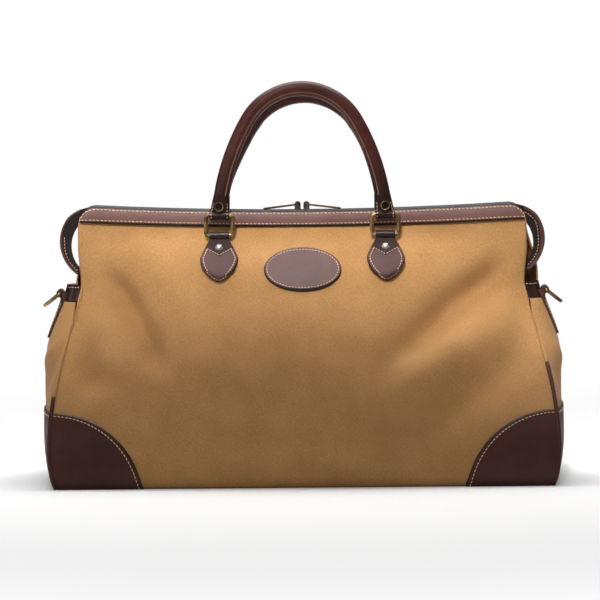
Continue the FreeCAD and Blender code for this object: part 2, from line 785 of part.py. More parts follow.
class Arch:
    """Line of a handle: an arc over the crown runs on into a flatter arc down each leg."""

    def __init__(self):
        radius = size["crown_radius"]
        turn = math.radians(size["crown_turn"])
        across, up = math.cos(turn), math.sin(turn)
        middle = size["handle_rise"] - radius
        foot = PIVOT_X
        room = 2 * (radius + middle * up - foot * across)
        extra = (foot ** 2 + middle ** 2 - radius ** 2) / room
        self.centre = (-extra * across, middle - extra * up)
        self.radius = radius + extra
        self.top = size["handle_rise"]
        half_turn = (math.pi / 2 + turn) / 2
        self.shoulder = (radius * math.cos(half_turn), middle + radius * math.sin(half_turn))
        self.join = self.on_leg(turn)
        foot_angle = math.atan2(-self.centre[1], foot - self.centre[0])
        self.slope = foot_angle + size["strap_length"] / self.radius
        self.knee = self.on_leg((turn + self.slope) / 2)
        self.start = self.on_leg(self.slope)

    def on_leg(self, angle):
        return (
            self.centre[0] + self.radius * math.cos(angle),
            self.centre[1] + self.radius * math.sin(angle),
        )


ARCH = Arch()


def swept_arch(body, name, radius_cell, kind):
    """Round section run from the crown down one leg, to be mirrored to the other."""
    path = new_sketch(body, f"{name}_path", "XZ_Plane")
    outline(path, (0, ARCH.top), (ARCH.shoulder, ARCH.join), (ARCH.knee, ARCH.start), closed=False)
    section = new_sketch(body, f"{name}_section", "YZ_Plane")
    circle(section, (0, ARCH.top), radius_cell)
    pipe = body.newObject(f"PartDesign::{kind}", f"{name}_half")
    pipe.Profile = section
    pipe.Spine = (path, [])
    return pipe


def mirrored(body, name, *features):
    origin_plane = next(f for f in body.Origin.OriginFeatures if f.Role == "YZ_Plane")
    whole = body.newObject("PartDesign::Mirrored", name)
    whole.Originals = list(features)
    whole.MirrorPlane = (origin_plane, [""])
    body.Tip = whole
    return whole


def rolled_grip(label):
    """Leather tube; the cord it is rolled round is a piece of its own."""
    body = new_body(label)
    cover = swept_arch(body, f"{label}_cover", "Sizes.grip_radius", "AdditivePipe")
    hollow = swept_arch(body, f"{label}_hollow", "Sizes.core_radius", "SubtractivePipe")
    mirrored(body, f"{label}_whole", cover, hollow)
    return body


def grip_core(label):
    body = new_body(label)
    cord = swept_arch(body, f"{label}_cord", "Sizes.core_radius", "AdditivePipe")
    mirrored(body, f"{label}_whole", cord)
    return body


def handle_ends():
    """Flattened ends of the handle, folded round the rings' upper bars."""
    half = size["strap_width"] / 2
    ends = []
    for sign in (-1, 1):
        flat_end = Part.Ellipse(V(0, 0, 0), half, LOOP_RADIUS).toShape()
        flat_end.translate(V(sign * PIVOT_X, 0, LOOP_RADIUS * 0.3))
        round_end = Part.Circle(V(0, 0, 0), V(0, 0, 1), size["grip_radius"]).toShape()
        round_end.rotate(V(0, 0, 0), V(0, 1, 0), -sign * math.degrees(ARCH.slope))
        round_end.translate(V(sign * ARCH.start[0], 0, ARCH.start[1]))
        strap = Part.makeLoft([Part.Wire(flat_end), Part.Wire(round_end)], True)
        left = sign * PIVOT_X - half
        loop = Part.makeCylinder(LOOP_RADIUS, 2 * half, V(left, 0, 0), V(1, 0, 0))
        bore = Part.makeCylinder(
            size["wire_radius"] + size["run_gap"], 4 * half, V(left - half, 0, 0), V(1, 0, 0)
        )
        ends.append(strap.fuse(loop).cut(bore))
    return Part.makeCompound(ends)


def handle_studs(ends):
    """Ring-capped studs through the feet of the handle, front face only."""
    studs = []
    rise = size["stud_rise"]
    radius = size["stud_radius"]
    for sign in (-1, 1):
        stem = Part.makeCylinder(radius, 3 * LOOP_RADIUS, V(sign * PIVOT_X, 0, rise), V(0, -1, 0))
        ray = Part.makeLine(V(sign * PIVOT_X, 0, rise), V(sign * PIVOT_X, -WIDE, rise))
        face = ends.common(ray).BoundBox.YMin
        cap = block((-WIDE, WIDE), (face - 1.3, 0), (-WIDE, WIDE))
        studs.append(stem.common(cap).cut(ends))
    return Part.makeCompound(studs)


def leaned(base, degrees):
    """Placement that tips a front piece back over the bag about the X axis."""
    return FreeCAD.Placement(base, FreeCAD.Rotation(V(1, 0, 0), -degrees))


def rings_and_handle(side, ring_lean, handle_lean):
    lean = math.radians(ring_lean)
    reach = size["ring_height"]
    top = ring_pivot + V(0, reach * math.sin(lean), reach * math.cos(lean))
    ring_place = leaned(ring_pivot, ring_lean)
    handle_place = leaned(top, handle_lean)
    if side == "back":
        ring_place = TURN.multiply(ring_place)
        handle_place = TURN.multiply(handle_place)
    for name, sign in (("left", -1), ("right", 1)):
        x = sign * PIVOT_X if side == "front" else -sign * PIVOT_X
        shift = FreeCAD.Placement(V(x, 0, 0), FreeCAD.Rotation())
        ring(f"{side}_ring_{name}").Placement = ring_place.multiply(shift)
    rolled_grip(f"{side}_handle_grip").Placement = handle_place
    grip_core(f"{side}_handle_core").Placement = handle_place
    ends = handle_ends()
    studs = handle_studs(ends)
    keep(feature(f"{side}_ends", ends, handle_place), f"{side}_handle_ends")
    keep(feature(f"{side}_studs", studs, handle_place), f"{side}_handle_studs")


rings_and_handle("front", size["front_ring_lean"], size["front_handle_lean"])
rings_and_handle("back", size["back_ring_lean"], size["back_handle_lean"])


# ---------------------------------------------------------------- sliders and pulls

ZIP_Z = size["bar_top"] - size["rim_sag"] - size["tape_thick"] / 2
PLATE_LOW = ZIP_Z + size["tooth_deep"] / 2 + size["slider_room"]
PIN_X = size["slider_start"] + size["cheek_radius"] + size["part_gap"]
PIN_Z = PLATE_LOW + size["slider_plate"] + size["pin_rise"]


def slider():
    """Right-hand slider: a plate over the teeth, cheeks and a cross pin on top."""
    x0 = size["slider_start"]
    x1 = x0 + size["slider_length"]
    half = size["slider_half_width"]
    plate_top = PLATE_LOW + size["slider_plate"]
    corner = size["slider_corner"]
    radius = size["cheek_radius"]
    inner_half = size["pull_width"] / 4 + size["run_gap"] * 2
    outer_half = inner_half + size["cheek_thick"]
    flange_half = half - size["slider_flange"]
    shape = block((x0, x1), (-half, half), (PLATE_LOW, plate_top))
    shape = shape.makeFillet(corner, [edge for edge in shape.Edges if upright(edge)])
    for sign in (-1, 1):
        y_range = sorted((sign * inner_half, sign * outer_half))
        cheek = block((PIN_X - radius, PIN_X + radius), y_range, (PLATE_LOW, PIN_Z))
        round_top = Part.makeCylinder(
            radius, size["cheek_thick"], V(PIN_X, y_range[0], PIN_Z), V(0, 1, 0)
        )
        flange = block(
            (x0 + corner, x1 - corner),
            sorted((sign * half, sign * flange_half)),
            (PLATE_LOW - size["slider_room"], PLATE_LOW),
        )
        shape = shape.fuse([cheek, round_top, flange])
    pin = Part.makeCylinder(
        size["pin_radius"], 2 * outer_half, V(PIN_X, -outer_half, PIN_Z), V(0, 1, 0)
    )
    return shape.fuse([pin])


def upright(edge):
    ends = edge.Vertexes
    flat_run = math.hypot(ends[0].X - ends[1].X, ends[0].Y - ends[1].Y)
    return flat_run < 1e-6


def pull():
    """Flat tongue with an eye on the slider's pin and a slot near its end."""
    body = new_body("zip_pull_right")
    length = size["pull_length"]
    wide = size["pull_width"] / 2
    narrow = wide / 2
    neck_end = (length * 0.15, narrow)
    shoulder = (length * 0.27, wide * 0.75)
    round_from = length - wide
    plan = new_sketch(body, "pull_plan", "XY_Plane")
    outline(
        plan,
        (0, -narrow),
        (neck_end[0], -neck_end[1]),
        (shoulder[0], -shoulder[1]),
        (round_from, -wide),
        ((length, 0), (round_from, wide)),
        shoulder,
        neck_end,
        (0, narrow),
    )
    pad(body, plan, "Sizes.pull_thick", both_sides=True)
    boss = new_sketch(body, "pull_boss", "XZ_Plane")
    circle(boss, (0, 0), "Sizes.pull_eye")
    pad(body, boss, "Sizes.pull_width / 2", both_sides=True)
    bore = new_sketch(body, "pull_bore", "XZ_Plane")
    circle(bore, (0, 0), "Sizes.pin_radius + Sizes.run_gap")
    pad(body, bore, "Sizes.pull_width * 2", both_sides=True, kind="Pocket")
    slot = new_sketch(body, "pull_slot", "XY_Plane")
    slot_half = wide * 0.46
    slot_foot = (length * 0.6, slot_half * 0.8)
    slot_end = length * 0.85
    outline(
        slot,
        (slot_foot[0], -slot_foot[1]),
        (slot_end, -slot_half),
        ((slot_end + slot_half, 0), (slot_end, slot_half)),
        slot_foot,
    )
    pad(body, slot, "Sizes.pull_thick * 3", both_sides=True, kind="Pocket")
    body.Placement = FreeCAD.Placement(
        V(PIN_X, 0, PIN_Z), FreeCAD.Rotation(V(0, 1, 0), size["pull_droop"])
    )
    return body


slider_right = keep(feature("slider", slider()), "zip_slider_right")
doc.recompute()
mirrored_slider = slider_right.Shape.mirror(V(0, 0, 0), V(1, 0, 0))
keep(feature("slider_twin", mirrored_slider), "zip_slider_left")
pull_right = pull()
turned(pull_right, "zip_pull_left")


# ---------------------------------------------------------------- end tabs and D-rings

TAB_X = end_face_x(size["dring_height"]) + size["dring_wire"] + size["run_gap"] + size["tab_thick"]
TAB_X += size["tab_stand"]


def ring_tab(name, sign):
    """Leather tab up the ridge of an end, looped round the D-ring's straight bar."""
    half = size["tab_width"] / 2
    bore_radius = size["dring_wire"] + size["run_gap"]
    outer_radius = bore_radius + size["tab_thick"]
    z = size["dring_height"]
    skin = tab_face.Shape.cut(outer.Shape)
    leaf_top = z - 0.75 * outer_radius
    leaf = skin.common(block((0, WIDE), (-half, half), (size["tab_low"], leaf_top)))
    loop = Part.makeCylinder(outer_radius, 2 * half, V(TAB_X, -half, z), V(0, 1, 0))
    neck = block((TAB_X - 2 * outer_radius, TAB_X), (-half, half), (leaf_top - outer_radius, z))
    bore = Part.makeCylinder(bore_radius, 4 * half, V(TAB_X, -2 * half, z), V(0, 1, 0))
    shape = leaf.fuse(loop.fuse(neck).cut(outer.Shape).cut(bore))
    if sign < 0:
        shape.Placement = TURN
    keep(feature(name, shape), name)


def dring(name, sign):
    """D of round wire; its straight bar runs across the bag through the tab's loop."""
    body = new_body(name)
    half = size["dring_half_width"]
    side = size["dring_side"]
    path = new_sketch(body, f"{name}_path", "XY_Plane")
    corner = size["dring_corner"]
    bend = corner * (1 - math.sqrt(0.5))
    outline(
        path,
        (0, 0),
        (0, half - corner),
        ((bend, half - bend), (corner, half)),
        (side, half),
        ((side + half * math.sqrt(0.5), half * math.sqrt(0.5)), (side + half, 0)),
        closed=False,
    )
    wire = new_sketch(body, f"{name}_wire", "XZ_Plane")
    circle(wire, (0, 0), "Sizes.dring_wire")
    pipe = body.newObject("PartDesign::AdditivePipe", f"{name}_half")
    pipe.Profile = wire
    pipe.Spine = (path, [])
    origin_plane = next(f for f in body.Origin.OriginFeatures if f.Role == "XZ_Plane")
    whole = body.newObject("PartDesign::Mirrored", f"{name}_whole")
    whole.Originals = [pipe]
    whole.MirrorPlane = (origin_plane, [""])
    body.Tip = whole
    droop = FreeCAD.Placement(
        V(TAB_X, 0, size["dring_height"]), FreeCAD.Rotation(V(0, 1, 0), size["dring_droop"])
    )
    body.Placement = droop if sign > 0 else TURN.multiply(droop)


tab_face = envelope("tab_face", size["tab_thick"])
for side_name, side_sign in (("left", -1), ("right", 1)):
    ring_tab(f"{side_name}_ring_tab", side_sign)
    dring(f"{side_name}_dring", side_sign)


# ---------------------------------------------------------------- checks and files

doc.recompute()
for obj in doc.Objects:
    if "Invalid" in obj.State or "Error" in obj.State:
        raise RuntimeError(f"{obj.Label} failed to build: {obj.State}")
for label, obj in nodes.items():
    if obj.Shape.isNull() or not obj.Shape.isValid():
        raise RuntimeError(f"{label} has no valid shape")
for label, obj in nodes.items():
    obj.Shape.exportStep(f"parts/{label}.step")
print(len(nodes), "sub-parts")
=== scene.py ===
import json
import math

import bpy
import numpy as np
from mathutils import Matrix, Vector, noise
from mathutils.bvhtree import BVHTree


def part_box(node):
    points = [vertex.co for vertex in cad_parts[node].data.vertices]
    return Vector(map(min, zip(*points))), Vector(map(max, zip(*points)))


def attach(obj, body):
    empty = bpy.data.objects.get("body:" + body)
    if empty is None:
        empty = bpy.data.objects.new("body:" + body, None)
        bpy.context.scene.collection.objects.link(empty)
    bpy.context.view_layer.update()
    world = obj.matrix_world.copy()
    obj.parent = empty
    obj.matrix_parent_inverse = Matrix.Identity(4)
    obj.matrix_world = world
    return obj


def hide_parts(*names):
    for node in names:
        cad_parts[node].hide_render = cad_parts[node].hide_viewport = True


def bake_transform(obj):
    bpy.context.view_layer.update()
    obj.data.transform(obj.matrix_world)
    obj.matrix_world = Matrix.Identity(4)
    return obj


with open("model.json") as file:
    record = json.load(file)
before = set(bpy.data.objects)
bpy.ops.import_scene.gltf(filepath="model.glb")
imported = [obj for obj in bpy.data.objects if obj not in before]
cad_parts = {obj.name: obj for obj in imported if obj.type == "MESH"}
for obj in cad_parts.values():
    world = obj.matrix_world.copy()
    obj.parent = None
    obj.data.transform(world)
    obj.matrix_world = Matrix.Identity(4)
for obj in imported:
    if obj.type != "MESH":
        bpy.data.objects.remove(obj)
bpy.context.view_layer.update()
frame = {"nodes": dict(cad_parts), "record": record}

# All lengths are in metres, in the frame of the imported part: X along the bag, -Y its front, +Z up.

MM = 0.001
X, Y, Z = Vector((1, 0, 0)), Vector((0, 1, 0)), Vector((0, 0, 1))
SIDES, ENDS = ("front", "back"), ("left", "right")
OUTWARD = {"front": -Y, "back": Y, "left": -X, "right": X}
HINGE_Z = sum(corner.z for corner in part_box("left_hinge_rivet")) / 2
FAR, NEAR = 1.0, 0.3  # places outside the bag and off its trim, to look at it from

FOLD_SLOPE = 0.5  # fall of the cloth's fold per metre out from the hinge axis
FOLD_BLUR = 6 * MM  # cloth this near to the fold isn't read from the solids
FOLD_BAND = 62 * MM  # heights below the hinge that the fold runs through
FACING = 0.55  # a face turned further away than this is the fold's cut face
READ_INSIDE = 0.6 * MM  # faces are read this far inside their edges
ROUNDED = 1.6 * MM  # a flat piece's rounded edge starts this far in
CLOTH_THICK = 1.3 * MM
LEATHER_THICK = 2.0 * MM
EDGE_ROUND = 0.7 * MM
EDGE_PAINT = (0.008, 0.005, 0.004)
DEEP_BROWN = (0.012, 0.004, 0.003)
HANDLE_DARK_BELOW = (0.292, 0.350)  # handles are darkest below the first height, brown above the second

THICK_THREAD = (4.1 * MM, 3.1 * MM, 0.95 * MM)  # pitch, length and width of the stitches
TAB_THREAD = (3.6 * MM, 2.7 * MM, 0.95 * MM)
LEAF_THREAD = (3.3 * MM, 2.5 * MM, 0.85 * MM)
STRAP_THREAD = (3.3 * MM, 2.4 * MM, 0.85 * MM)
FINE_THREAD = (3.3 * MM, 2.4 * MM, 0.8 * MM)


# ---- helpers for numbers

def smooth(value, low=0.0, high=1.0):
    """0 below low, 1 above high, and an even ease between them."""
    share = np.clip((value - low) / (high - low), 0, 1)
    return share * share * (3 - 2 * share)


def bump_of(value, middle, half):
    """1 in the middle, 0 at half either side."""
    return smooth(1 - abs(value - middle) / half)


def furthest(inside, reach, halvings):
    """How far one can go and still be inside."""
    near, far = 0.0, reach
    for _ in range(halvings):
        middle = (near + far) / 2
        if inside(middle):
            near = middle
        else:
            far = middle
    return near


def ring(first, second, count, closed=False):
    """Even steps round a ring whose two arms are given."""
    turns = [2 * math.pi * step / count for step in range(count + closed)]
    return [first * math.cos(turn) + second * math.sin(turn) for turn in turns]


# ---- helpers for materials

class Nodes:
    """A node tree and short ways to add to it."""

    def __init__(self, tree):
        self.tree = tree

    def put(self, node, key, value):
        """Links or sets an input. A colour may be given as three numbers."""
        socket = node.inputs[key]
        if isinstance(value, bpy.types.NodeSocket):
            self.tree.links.new(value, socket)
        elif socket.type == "RGBA" and len(value) == 3:
            socket.default_value = (*value, 1)
        else:
            socket.default_value = value

    def add(self, kind, settings=(), *values, **inputs):
        """Adds a node, with inputs given in order or by name, and returns its outputs."""
        node = self.tree.nodes.new(kind)
        for key, value in dict(settings).items():
            setattr(node, key, value)
        for number, value in enumerate(values):
            self.put(node, number, value)
        for key, value in inputs.items():
            self.put(node, key.replace("_", " "), value)
        return node.outputs

    def sums(self, operation, *values):
        return self.add("ShaderNodeMath", {"operation": operation}, *values)[0]

    def stretched(self, vector, scale):
        return self.add("ShaderNodeVectorMath", {"operation": "MULTIPLY"}, vector, scale)[0]

    def place(self, attribute=None):
        if attribute:
            return self.add("ShaderNodeAttribute", {"attribute_name": attribute})["Vector"]
        return self.add("ShaderNodeTexCoord")["Object"]

    def cloud(self, vector, scale, detail=3, rough=0.55):
        inputs = {"Vector": vector, "Scale": scale, "Detail": detail, "Roughness": rough}
        return self.add("ShaderNodeTexNoise", **inputs)["Fac"]

    def cells(self, vector, scale, feature="F1"):
        return self.add("ShaderNodeTexVoronoi", {"feature": feature}, Vector=vector, Scale=scale)["Distance"]

    def waves(self, vector, direction, scale, distortion=0.0):
        inputs = {"Vector": vector, "Scale": scale, "Distortion": distortion}
        return self.add("ShaderNodeTexWave", {"bands_direction": direction}, **inputs)["Fac"]

    def ramp(self, factor, *stops):
        colour = self.add("ShaderNodeValToRGB", Fac=factor)["Color"]
        ramp = colour.node.color_ramp
        while len(ramp.elements) < len(stops):
            ramp.elements.new(0.5)
        for element, (position, tone) in zip(ramp.elements, stops):
            element.position = position
            element.color = (*tone, 1)
        return colour

    def levels(self, factor, *stops):
        return self.ramp(factor, *((place, (level,) * 3) for place, level in stops))

    def mixed(self, factor, first, second, blend="MIX"):
        colour = self.add("ShaderNodeMix", {"data_type": "RGBA", "blend_type": blend}, factor)[2]
        self.put(colour.node, 6, first)
        self.put(colour.node, 7, second)
        return colour

    def relief(self, height, distance, strength=1.0, below=None):
        inputs = {"Strength": strength, "Distance": distance, "Height": height}
        if below:
            inputs["Normal"] = below
        return self.add("ShaderNodeBump", **inputs)["Normal"]


class Shade(Nodes):
    """A material, filled by way of its node tree."""

    def __init__(self, name):
        self.material = bpy.data.materials.new(name)
        self.material.use_nodes = True
        super().__init__(self.material.node_tree)
        self.shader = self.tree.nodes["Principled BSDF"]

    def done(self, **inputs):
        for key, value in inputs.items():
            self.put(self.shader, key.replace("_", " "), value)
        return self.material


def leather(name, dark, light, gloss=0.42, grain=1.0, creases=0.0, sheen=0.3, dark_below=None):
    """Oiled, slightly mottled leather with a fine grain; its cut edges are rounded and painted."""
    shade = Shade(name)
    place = shade.place()
    rounded = shade.add("ShaderNodeBevel", {"samples": 6}, Radius=EDGE_ROUND)["Normal"]
    true = shade.add("ShaderNodeNewGeometry")["Normal"]
    facing = shade.add("ShaderNodeVectorMath", {"operation": "DOT_PRODUCT"}, rounded, true)["Value"]
    painted = shade.levels(facing, (0.90, 1.0), (0.985, 0.0))
    colour = shade.ramp(shade.cloud(place, 14, 5, 0.6), (0.32, dark), (0.68, light))
    pores = shade.levels(shade.cells(place, 950), (0.0, 0.72), (0.35, 1.0))
    colour = shade.mixed(0.8, colour, pores, "MULTIPLY")
    cells = shade.sums("MULTIPLY", shade.cells(place, 620, "DISTANCE_TO_EDGE"), 0.8)
    wrinkles = shade.sums("MULTIPLY", shade.cloud(place, 260, 4, 0.6), 0.9)
    normal = shade.relief(shade.sums("ADD", cells, wrinkles), 0.00022 * grain, 0.5, rounded)
    if creases:
        lines = shade.cloud(shade.stretched(place, (1.0, 1.0, 0.12)), 300, 2)
        normal = shade.relief(lines, 0.0006 * creases, 0.5, normal)
    rough = shade.levels(shade.cloud(place, 40, 4), (0.3, gloss - 0.07), (0.7, gloss + 0.08))
    # Darker towards the bottom: the colour goes to deep brown below the given heights.
    if dark_below:
        height = shade.add("ShaderNodeSeparateXYZ", Vector=place)["Z"]
        colour = shade.mixed(shade.levels(height, (dark_below[0], 0.95), (dark_below[1], 0.0)), colour, DEEP_BROWN)
    colour = shade.mixed(painted, colour, EDGE_PAINT)
    return shade.done(Base_Color=colour, Roughness=rough, Normal=normal, Specular_IOR_Level=sheen)


def canvas(name, dark, light):
    """Heavy twill: threads both ways, slubs and a soft bloom on the surface."""
    shade = Shade(name)
    place = shade.place("weave_place")
    colour = shade.ramp(shade.cloud(place, 22, 5, 0.62), (0.3, dark), (0.72, light))
    weft = shade.cloud(shade.stretched(place, (420, 1500, 1)), 1.0, 2)
    warp = shade.cloud(shade.stretched(place, (1500, 380, 1)), 1.0, 2)
    threads = shade.sums("ADD", shade.sums("MULTIPLY", weft, 0.5), shade.sums("MULTIPLY", warp, 0.5))
    tint = shade.levels(threads, (0.34, 0.74), (0.5, 1.0), (0.66, 1.24))
    colour = shade.mixed(1.0, colour, tint, "MULTIPLY")
    weave = shade.sums("MULTIPLY", shade.waves(place, "X", 520, 0.6), shade.waves(place, "Y", 520, 0.6))
    twill = shade.sums("MULTIPLY", shade.waves(place, "DIAGONAL", 330), 0.5)
    normal = shade.relief(shade.sums("ADD", weave, twill), 0.00016, 0.6)
    return shade.done(Base_Color=colour, Roughness=0.86, Normal=shade.relief(threads, 0.0005, 0.35, normal),
                      Sheen_Weight=0.12, Sheen_Roughness=0.45, Sheen_Tint=(1.0, 0.93, 0.84),
                      Specular_IOR_Level=0.25)


def metal(name, dark, light, gloss=0.28, tarnish=60):
    """Worn metal: bright where rubbed, darker and duller in the low places."""
    shade = Shade(name)
    place = shade.place()
    stain = shade.cloud(place, tarnish, 5, 0.65)
    colour = shade.ramp(stain, (0.38, dark), (0.62, light))
    rough = shade.levels(stain, (0.35, gloss + 0.16), (0.65, gloss))
    scratches = shade.cloud(shade.stretched(place, (1.0, 1.0, 0.2)), 900, 2)
    return shade.done(Base_Color=colour, Roughness=rough, Metallic=1.0,
                      Normal=shade.relief(scratches, 0.00003, 0.5))


def thread(name, dark, light):
    """Waxed linen thread with its lay."""
    shade = Shade(name)
    place = shade.place()
    colour = shade.ramp(shade.cloud(place, 420, 3), (0.35, dark), (0.65, light))
    lay = shade.relief(shade.waves(place, "DIAGONAL", 520), 0.0001, 0.5)
    return shade.done(Base_Color=colour, Roughness=0.6, Normal=lay, Sheen_Weight=0.2)


def woven_tape(name, dark, light):
    """Close woven tape or board cloth."""
    shade = Shade(name)
    place = shade.place()
    weave = shade.sums("MULTIPLY", shade.waves(place, "X", 400, 0.5), shade.waves(place, "Y", 400, 0.5))
    colour = shade.ramp(shade.cloud(place, 130, 4), (0.35, dark), (0.65, light))
    return shade.done(Base_Color=colour, Roughness=0.8, Normal=shade.relief(weave, 0.00015, 0.6),
                      Sheen_Weight=0.15)


DARK_BROWN = leather("leather_dark", (0.052, 0.019, 0.015), (0.080, 0.032, 0.026), 0.50, sheen=0.15)
TRIM_BROWN = leather("leather_trim", (0.068, 0.026, 0.021), (0.104, 0.042, 0.034), 0.48)
# The band brown is the dark leather made lighter and greyer: painted sheen of the overhead light on the
# back-leaning band.
BAND_BROWN_PAINTED_SHEEN = leather("leather_band_painted_sheen", (0.135, 0.064, 0.056), (0.195, 0.098, 0.086), 0.46)
# The handle brown turns deep brown towards the bottom, below the heights given last.
HANDLE_BROWN = leather("leather_handle", (0.045, 0.011, 0.008), (0.105, 0.031, 0.024), 0.36, 0.6, 0.5, 0.25,
                       HANDLE_DARK_BELOW)
NECK_BROWN = leather("leather_neck", (0.012, 0.004, 0.003), (0.030, 0.010, 0.008), 0.34, 0.6, 0.3, 0.25)
EDGE_BLACK = leather("leather_edge", (0.010, 0.007, 0.006), (0.018, 0.012, 0.010), 0.42, 0.4)
# The leaf and badge browns are the dark leather made lighter and greyer: painted sheen of the overhead
# light.
LEAF_BROWN_PAINTED_SHEEN = leather("leather_leaf_painted_sheen", (0.062, 0.032, 0.029), (0.105, 0.055, 0.050), 0.50, sheen=0.2)
BADGE_BROWN_PAINTED_SHEEN = leather("leather_badge_painted_sheen", (0.105, 0.060, 0.055), (0.160, 0.094, 0.086), 0.50, sheen=0.2)
SEAM_TAN = leather("leather_cut_edge", (0.16, 0.065, 0.035), (0.26, 0.11, 0.06), 0.55, 0.4)
CANVAS = canvas("canvas_sand", (0.390, 0.197, 0.067), (0.476, 0.250, 0.093))
TAPE = woven_tape("zip_tape_black", (0.006, 0.005, 0.006), (0.014, 0.012, 0.013))
BOARD = woven_tape("board_cloth", (0.10, 0.065, 0.036), (0.13, 0.085, 0.048))
THREAD = thread("thread_peach", (0.62, 0.34, 0.18), (0.86, 0.56, 0.34))
BRASS = metal("brass_antique", (0.085, 0.052, 0.022), (0.50, 0.33, 0.15), 0.27)
STUD = metal("stud_black", (0.010, 0.008, 0.006), (0.035, 0.026, 0.016), 0.30)
ZIP_METAL = metal("zip_metal_aged", (0.055, 0.045, 0.035), (0.36, 0.31, 0.25), 0.27)
TEETH = metal("zip_teeth_bright", (0.42, 0.40, 0.38), (0.78, 0.76, 0.72), 0.25)
STEEL = metal("frame_steel_dark", (0.10, 0.10, 0.105), (0.22, 0.22, 0.23), 0.35)
NICKEL = metal("rivet_nickel", (0.52, 0.48, 0.44), (0.85, 0.80, 0.74), 0.2)

SLOT_MATERIALS = {  # every other slot is dark leather
    "canvas": CANVAS,
    "board": BOARD,
    "frame_steel": STEEL,
    "rivet_steel": NICKEL,
    "zip_metal": ZIP_METAL,
    "antique_brass": BRASS,
    "zip_tape": TAPE,
    "handle_leather": HANDLE_BROWN,
    "trim_leather": TRIM_BROWN,
}
NODE_MATERIALS = {  # by the node's name without its side
    "handle_studs": STUD,
    "zip_teeth": TEETH,
    "chape_left": NECK_BROWN,
    "chape_right": NECK_BROWN,
    "ring_tab": DARK_BROWN,
    "hinge_cover": NECK_BROWN,
    "zip_ends": EDGE_BLACK,
}


def dress_cad_nodes():
    """Gives every node of the frame its finish, by name or by the record's slot."""
    for row in frame["record"]["subparts"]:
        own = NODE_MATERIALS.get(row["node"].partition("_")[2])
        materials = frame["nodes"][row["node"]].data.materials
        materials.clear()
        materials.append(own or SLOT_MATERIALS.get(row["material_slot"], DARK_BROWN))


# ---- helpers for meshes

def put_in_scene(name, data):
    thing = bpy.data.objects.new(name, data)
    bpy.context.scene.collection.objects.link(thing)
    return thing


def mesh_piece(name, corners, faces, *materials, flat=False):
    mesh = bpy.data.meshes.new(name)
    mesh.from_pydata([tuple(corner) for corner in corners], [], faces)
    mesh.update()
    for material in materials:
        mesh.materials.append(material)
    if not flat:
        mesh.shade_smooth()
    return put_in_scene(name, mesh)


def dress(piece, body, slot, *replaced):
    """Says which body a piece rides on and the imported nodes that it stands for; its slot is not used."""
    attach(piece, body)
    if replaced:
        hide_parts(*replaced)


def paint_edges(piece, is_edge):
    """Gives the faces that are cut edges or a seam the piece's second material."""
    for number, polygon in enumerate(piece.data.polygons):
        polygon.material_index = int(is_edge(number))


def grid_faces(rows, columns, start=0, closed=False, flip=False):
    """Four-sided faces of a grid of points given row by row."""
    faces = []
    for row in range(rows - 1):
        for column in range(columns if closed else columns - 1):
            here = start + row * columns
            after = (column + 1) % columns
            face = [here + column, here + after, here + columns + after, here + columns + column]
            faces.append(face[::-1] if flip else face)
    return faces


def end_caps(sides, first, last):
    """Faces that close a tube at both ends."""
    return [[first + step for step in reversed(range(sides))], [last + step for step in range(sides)]]


class Probe:
    """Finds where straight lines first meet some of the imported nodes."""

    def __init__(self, *names):
        corners, polygons = [], []
        for name in names:
            mesh, start = frame["nodes"][name].data, len(corners)
            corners += [vertex.co.copy() for vertex in mesh.vertices]
            polygons += [[start + i for i in face.vertices] for face in mesh.polygons]
        self.tree = BVHTree.FromPolygons(corners, polygons)

    def meet(self, start, direction):
        place, normal, _, _ = self.tree.ray_cast(Vector(start), Vector(direction))
        if place is not None and normal.dot(direction) > 0:
            normal = -normal
        return place, normal


class Flat(Probe):
    """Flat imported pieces, seen from outside and measured from a place on them."""

    def __init__(self, outward, *names):
        super().__init__(*names)
        self.outward = outward

    def at(self, spot):
        """The place on the face at a spot, and its normal."""
        return self.meet(spot + self.outward * NEAR, -self.outward)

    def line(self, spots):
        return [spot for spot in map(self.at, spots) if spot[0] is not None]

    def edge(self, centre, ray, reach=0.06):
        """How far the face goes from a place, along a direction."""
        return furthest(lambda along: self.at(centre + ray * along)[0] is not None, reach, 16)

    def beyond(self, centre, ray, edge, along):
        """A place along a direction; past the rounded edge's start the flat part is carried on."""
        known = min(along, edge - ROUNDED)
        place, normal = self.at(centre + ray * known)
        if along > known:
            nearer, _ = self.at(centre + ray * known * 0.85)
            place = place + (place - nearer) * (along - known) / (known * 0.15)
        return place, normal


def evenly(points, pitch):
    """Places along a line at an even pitch, with the direction of the line at each."""
    points = [Vector(point) for point in points]
    lengths = [(b - a).length for a, b in zip(points, points[1:])]
    total = sum(lengths)
    count = max(1, round(total / pitch))
    marks = [total * (number + 0.5) / count for number in range(count)]
    places, run, index = [], 0.0, 0
    for mark in marks:
        while index < len(lengths) - 1 and run + lengths[index] < mark:
            run += lengths[index]
            index += 1
        share = (mark - run) / max(lengths[index], 1e-9)
        along = (points[index + 1] - points[index]).normalized()
        places.append((points[index].lerp(points[index + 1], share), along))
    return places


STITCH_RINGS = 5
STITCH_SIDES = 6
STITCH_LEAN = 0.12  # how far a stitch leans off its row, in shares of its length
STITCH_RISE = 0.12  # how far it stands off the leather, in shares of its width
STITCH_THIN = 0.12  # its radius at the tips, in shares of the middle's
STITCH_FLAT = 0.8


